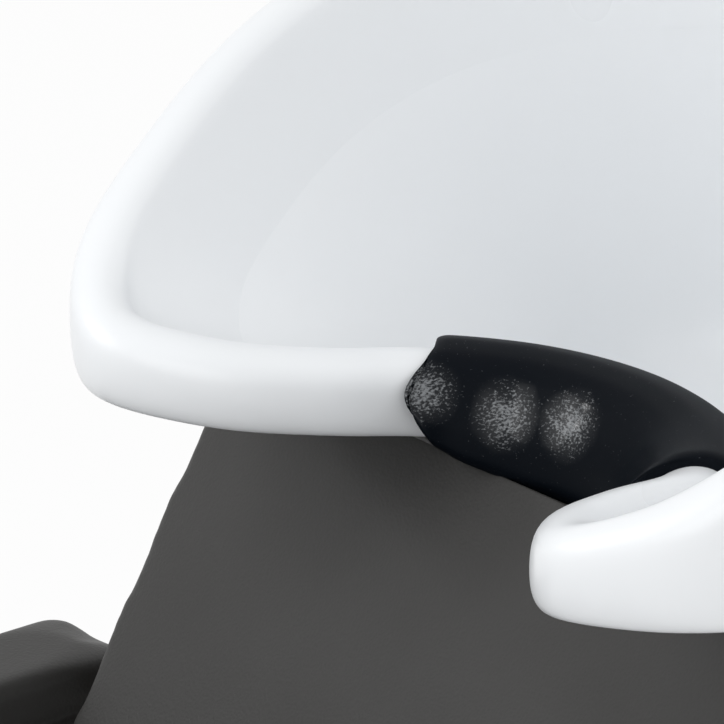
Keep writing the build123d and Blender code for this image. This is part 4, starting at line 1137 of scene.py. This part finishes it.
class BED_OT_stage(bpy.types.Operator):
    """Lay the floor, hang the lamps and place the camera"""

    bl_idname = "bed.stage"
    bl_label = "Stage"

    def execute(self, context):
        self.floor(context.scene.bed_colours.floor)
        self.lamps()
        self.camera(context)
        context.scene.view_settings.view_transform = "Standard"
        return {"FINISHED"}

    def floor(self, colour):
        floor = primitive("plane", "studio_floor", size=FLOOR_SIZE)
        surface = Surface("pale studio floor", colour, Roughness=0.8)
        surface.feed(Base_Color=surface.shades(surface.noise(0.7, 2.0), 0.99, 1.01))
        floor.data.materials.append(surface.material)
        output = surface.tree.nodes["Material Output"]
        white_behind(surface.tree, surface.shader.outputs[0], output, "Floor",
                     FLOOR_WHITE_SHARE)

    def lamps(self):
        world = bpy.data.worlds.new("studio")
        bpy.context.scene.world = world
        world.use_nodes = True
        lit = world.node_tree.nodes["Background"]
        lit.inputs["Color"].default_value = (1.0, 1.0, 1.0, 1)
        lit.inputs["Strength"].default_value = WORLD_STRENGTH
        output = world.node_tree.nodes["World Output"]
        white_behind(world.node_tree, lit.outputs[0], output, "World", 1.0)
        for name, spot, size, power in LAMPS:
            soft_lamp(name, spot, LIT_SPOT, size, power)

    def camera(self, context):
        sizes, basin = context.scene.bed_stage, context.scene.bed_basin
        neck = Vector((0, Rim(basin).neck_y, basin.neck_height))
        turn, rise = sizes.azimuth, sizes.elevation
        right = Vector((cos(turn), sin(turn), 0))
        back = Vector((sin(turn) * cos(rise), -cos(turn) * cos(rise), sin(rise)))
        up = back.cross(right)
        aim = neck + right * sizes.aim_right + up * sizes.aim_up
        deselect()
        bpy.ops.object.camera_add(location=aim + back * sizes.distance)
        camera = bpy.context.object
        camera.name = "photo_camera"
        camera.rotation_euler = back.to_track_quat("Z", "Y").to_euler()
        camera.data.sensor_width = 36
        camera.data.lens = sizes.lens
        camera.data.clip_end = 100
        context.scene.camera = camera


# ---------------------------------------------------------------- add-on


class BED_PT_panel(bpy.types.Panel):
    """Sizes, colours and building steps of the bed"""

    bl_idname = "BED_PT_panel"
    bl_label = "Washing bed"
    bl_space_type = "VIEW_3D"
    bl_region_type = "UI"
    bl_category = "Washing bed"

    def draw(self, context):
        for operator in BUILDERS:
            self.layout.operator(operator.bl_idname)
        for group in GROUPS:
            box = self.layout.box()
            values = getattr(context.scene, group)
            for name in values.__annotations__:
                box.prop(values, name)


BUILDERS = (BED_OT_basin, BED_OT_neck_rest, BED_OT_upholstery, BED_OT_finishes, BED_OT_stage)
GROUPS = {"bed_basin": BasinSizes, "bed_gel": GelSizes, "bed_padding": PaddingSizes,
          "bed_colours": BedColours, "bed_stage": StageSizes}


def register():
    for kind in (*GROUPS.values(), *BUILDERS, BED_PT_panel):
        bpy.utils.register_class(kind)
    for name, kind in GROUPS.items():
        setattr(bpy.types.Scene, name, PointerProperty(type=kind))


def unregister():
    for name in GROUPS:
        delattr(bpy.types.Scene, name)
    for kind in reversed((*GROUPS.values(), *BUILDERS, BED_PT_panel)):
        bpy.utils.unregister_class(kind)


def main():
    register()
    bpy.ops.bed.basin()
    bpy.ops.bed.neck_rest()
    bpy.ops.bed.upholstery()
    bpy.ops.bed.finishes()
    bpy.ops.bed.stage()


if __name__ == "__main__":
    main()
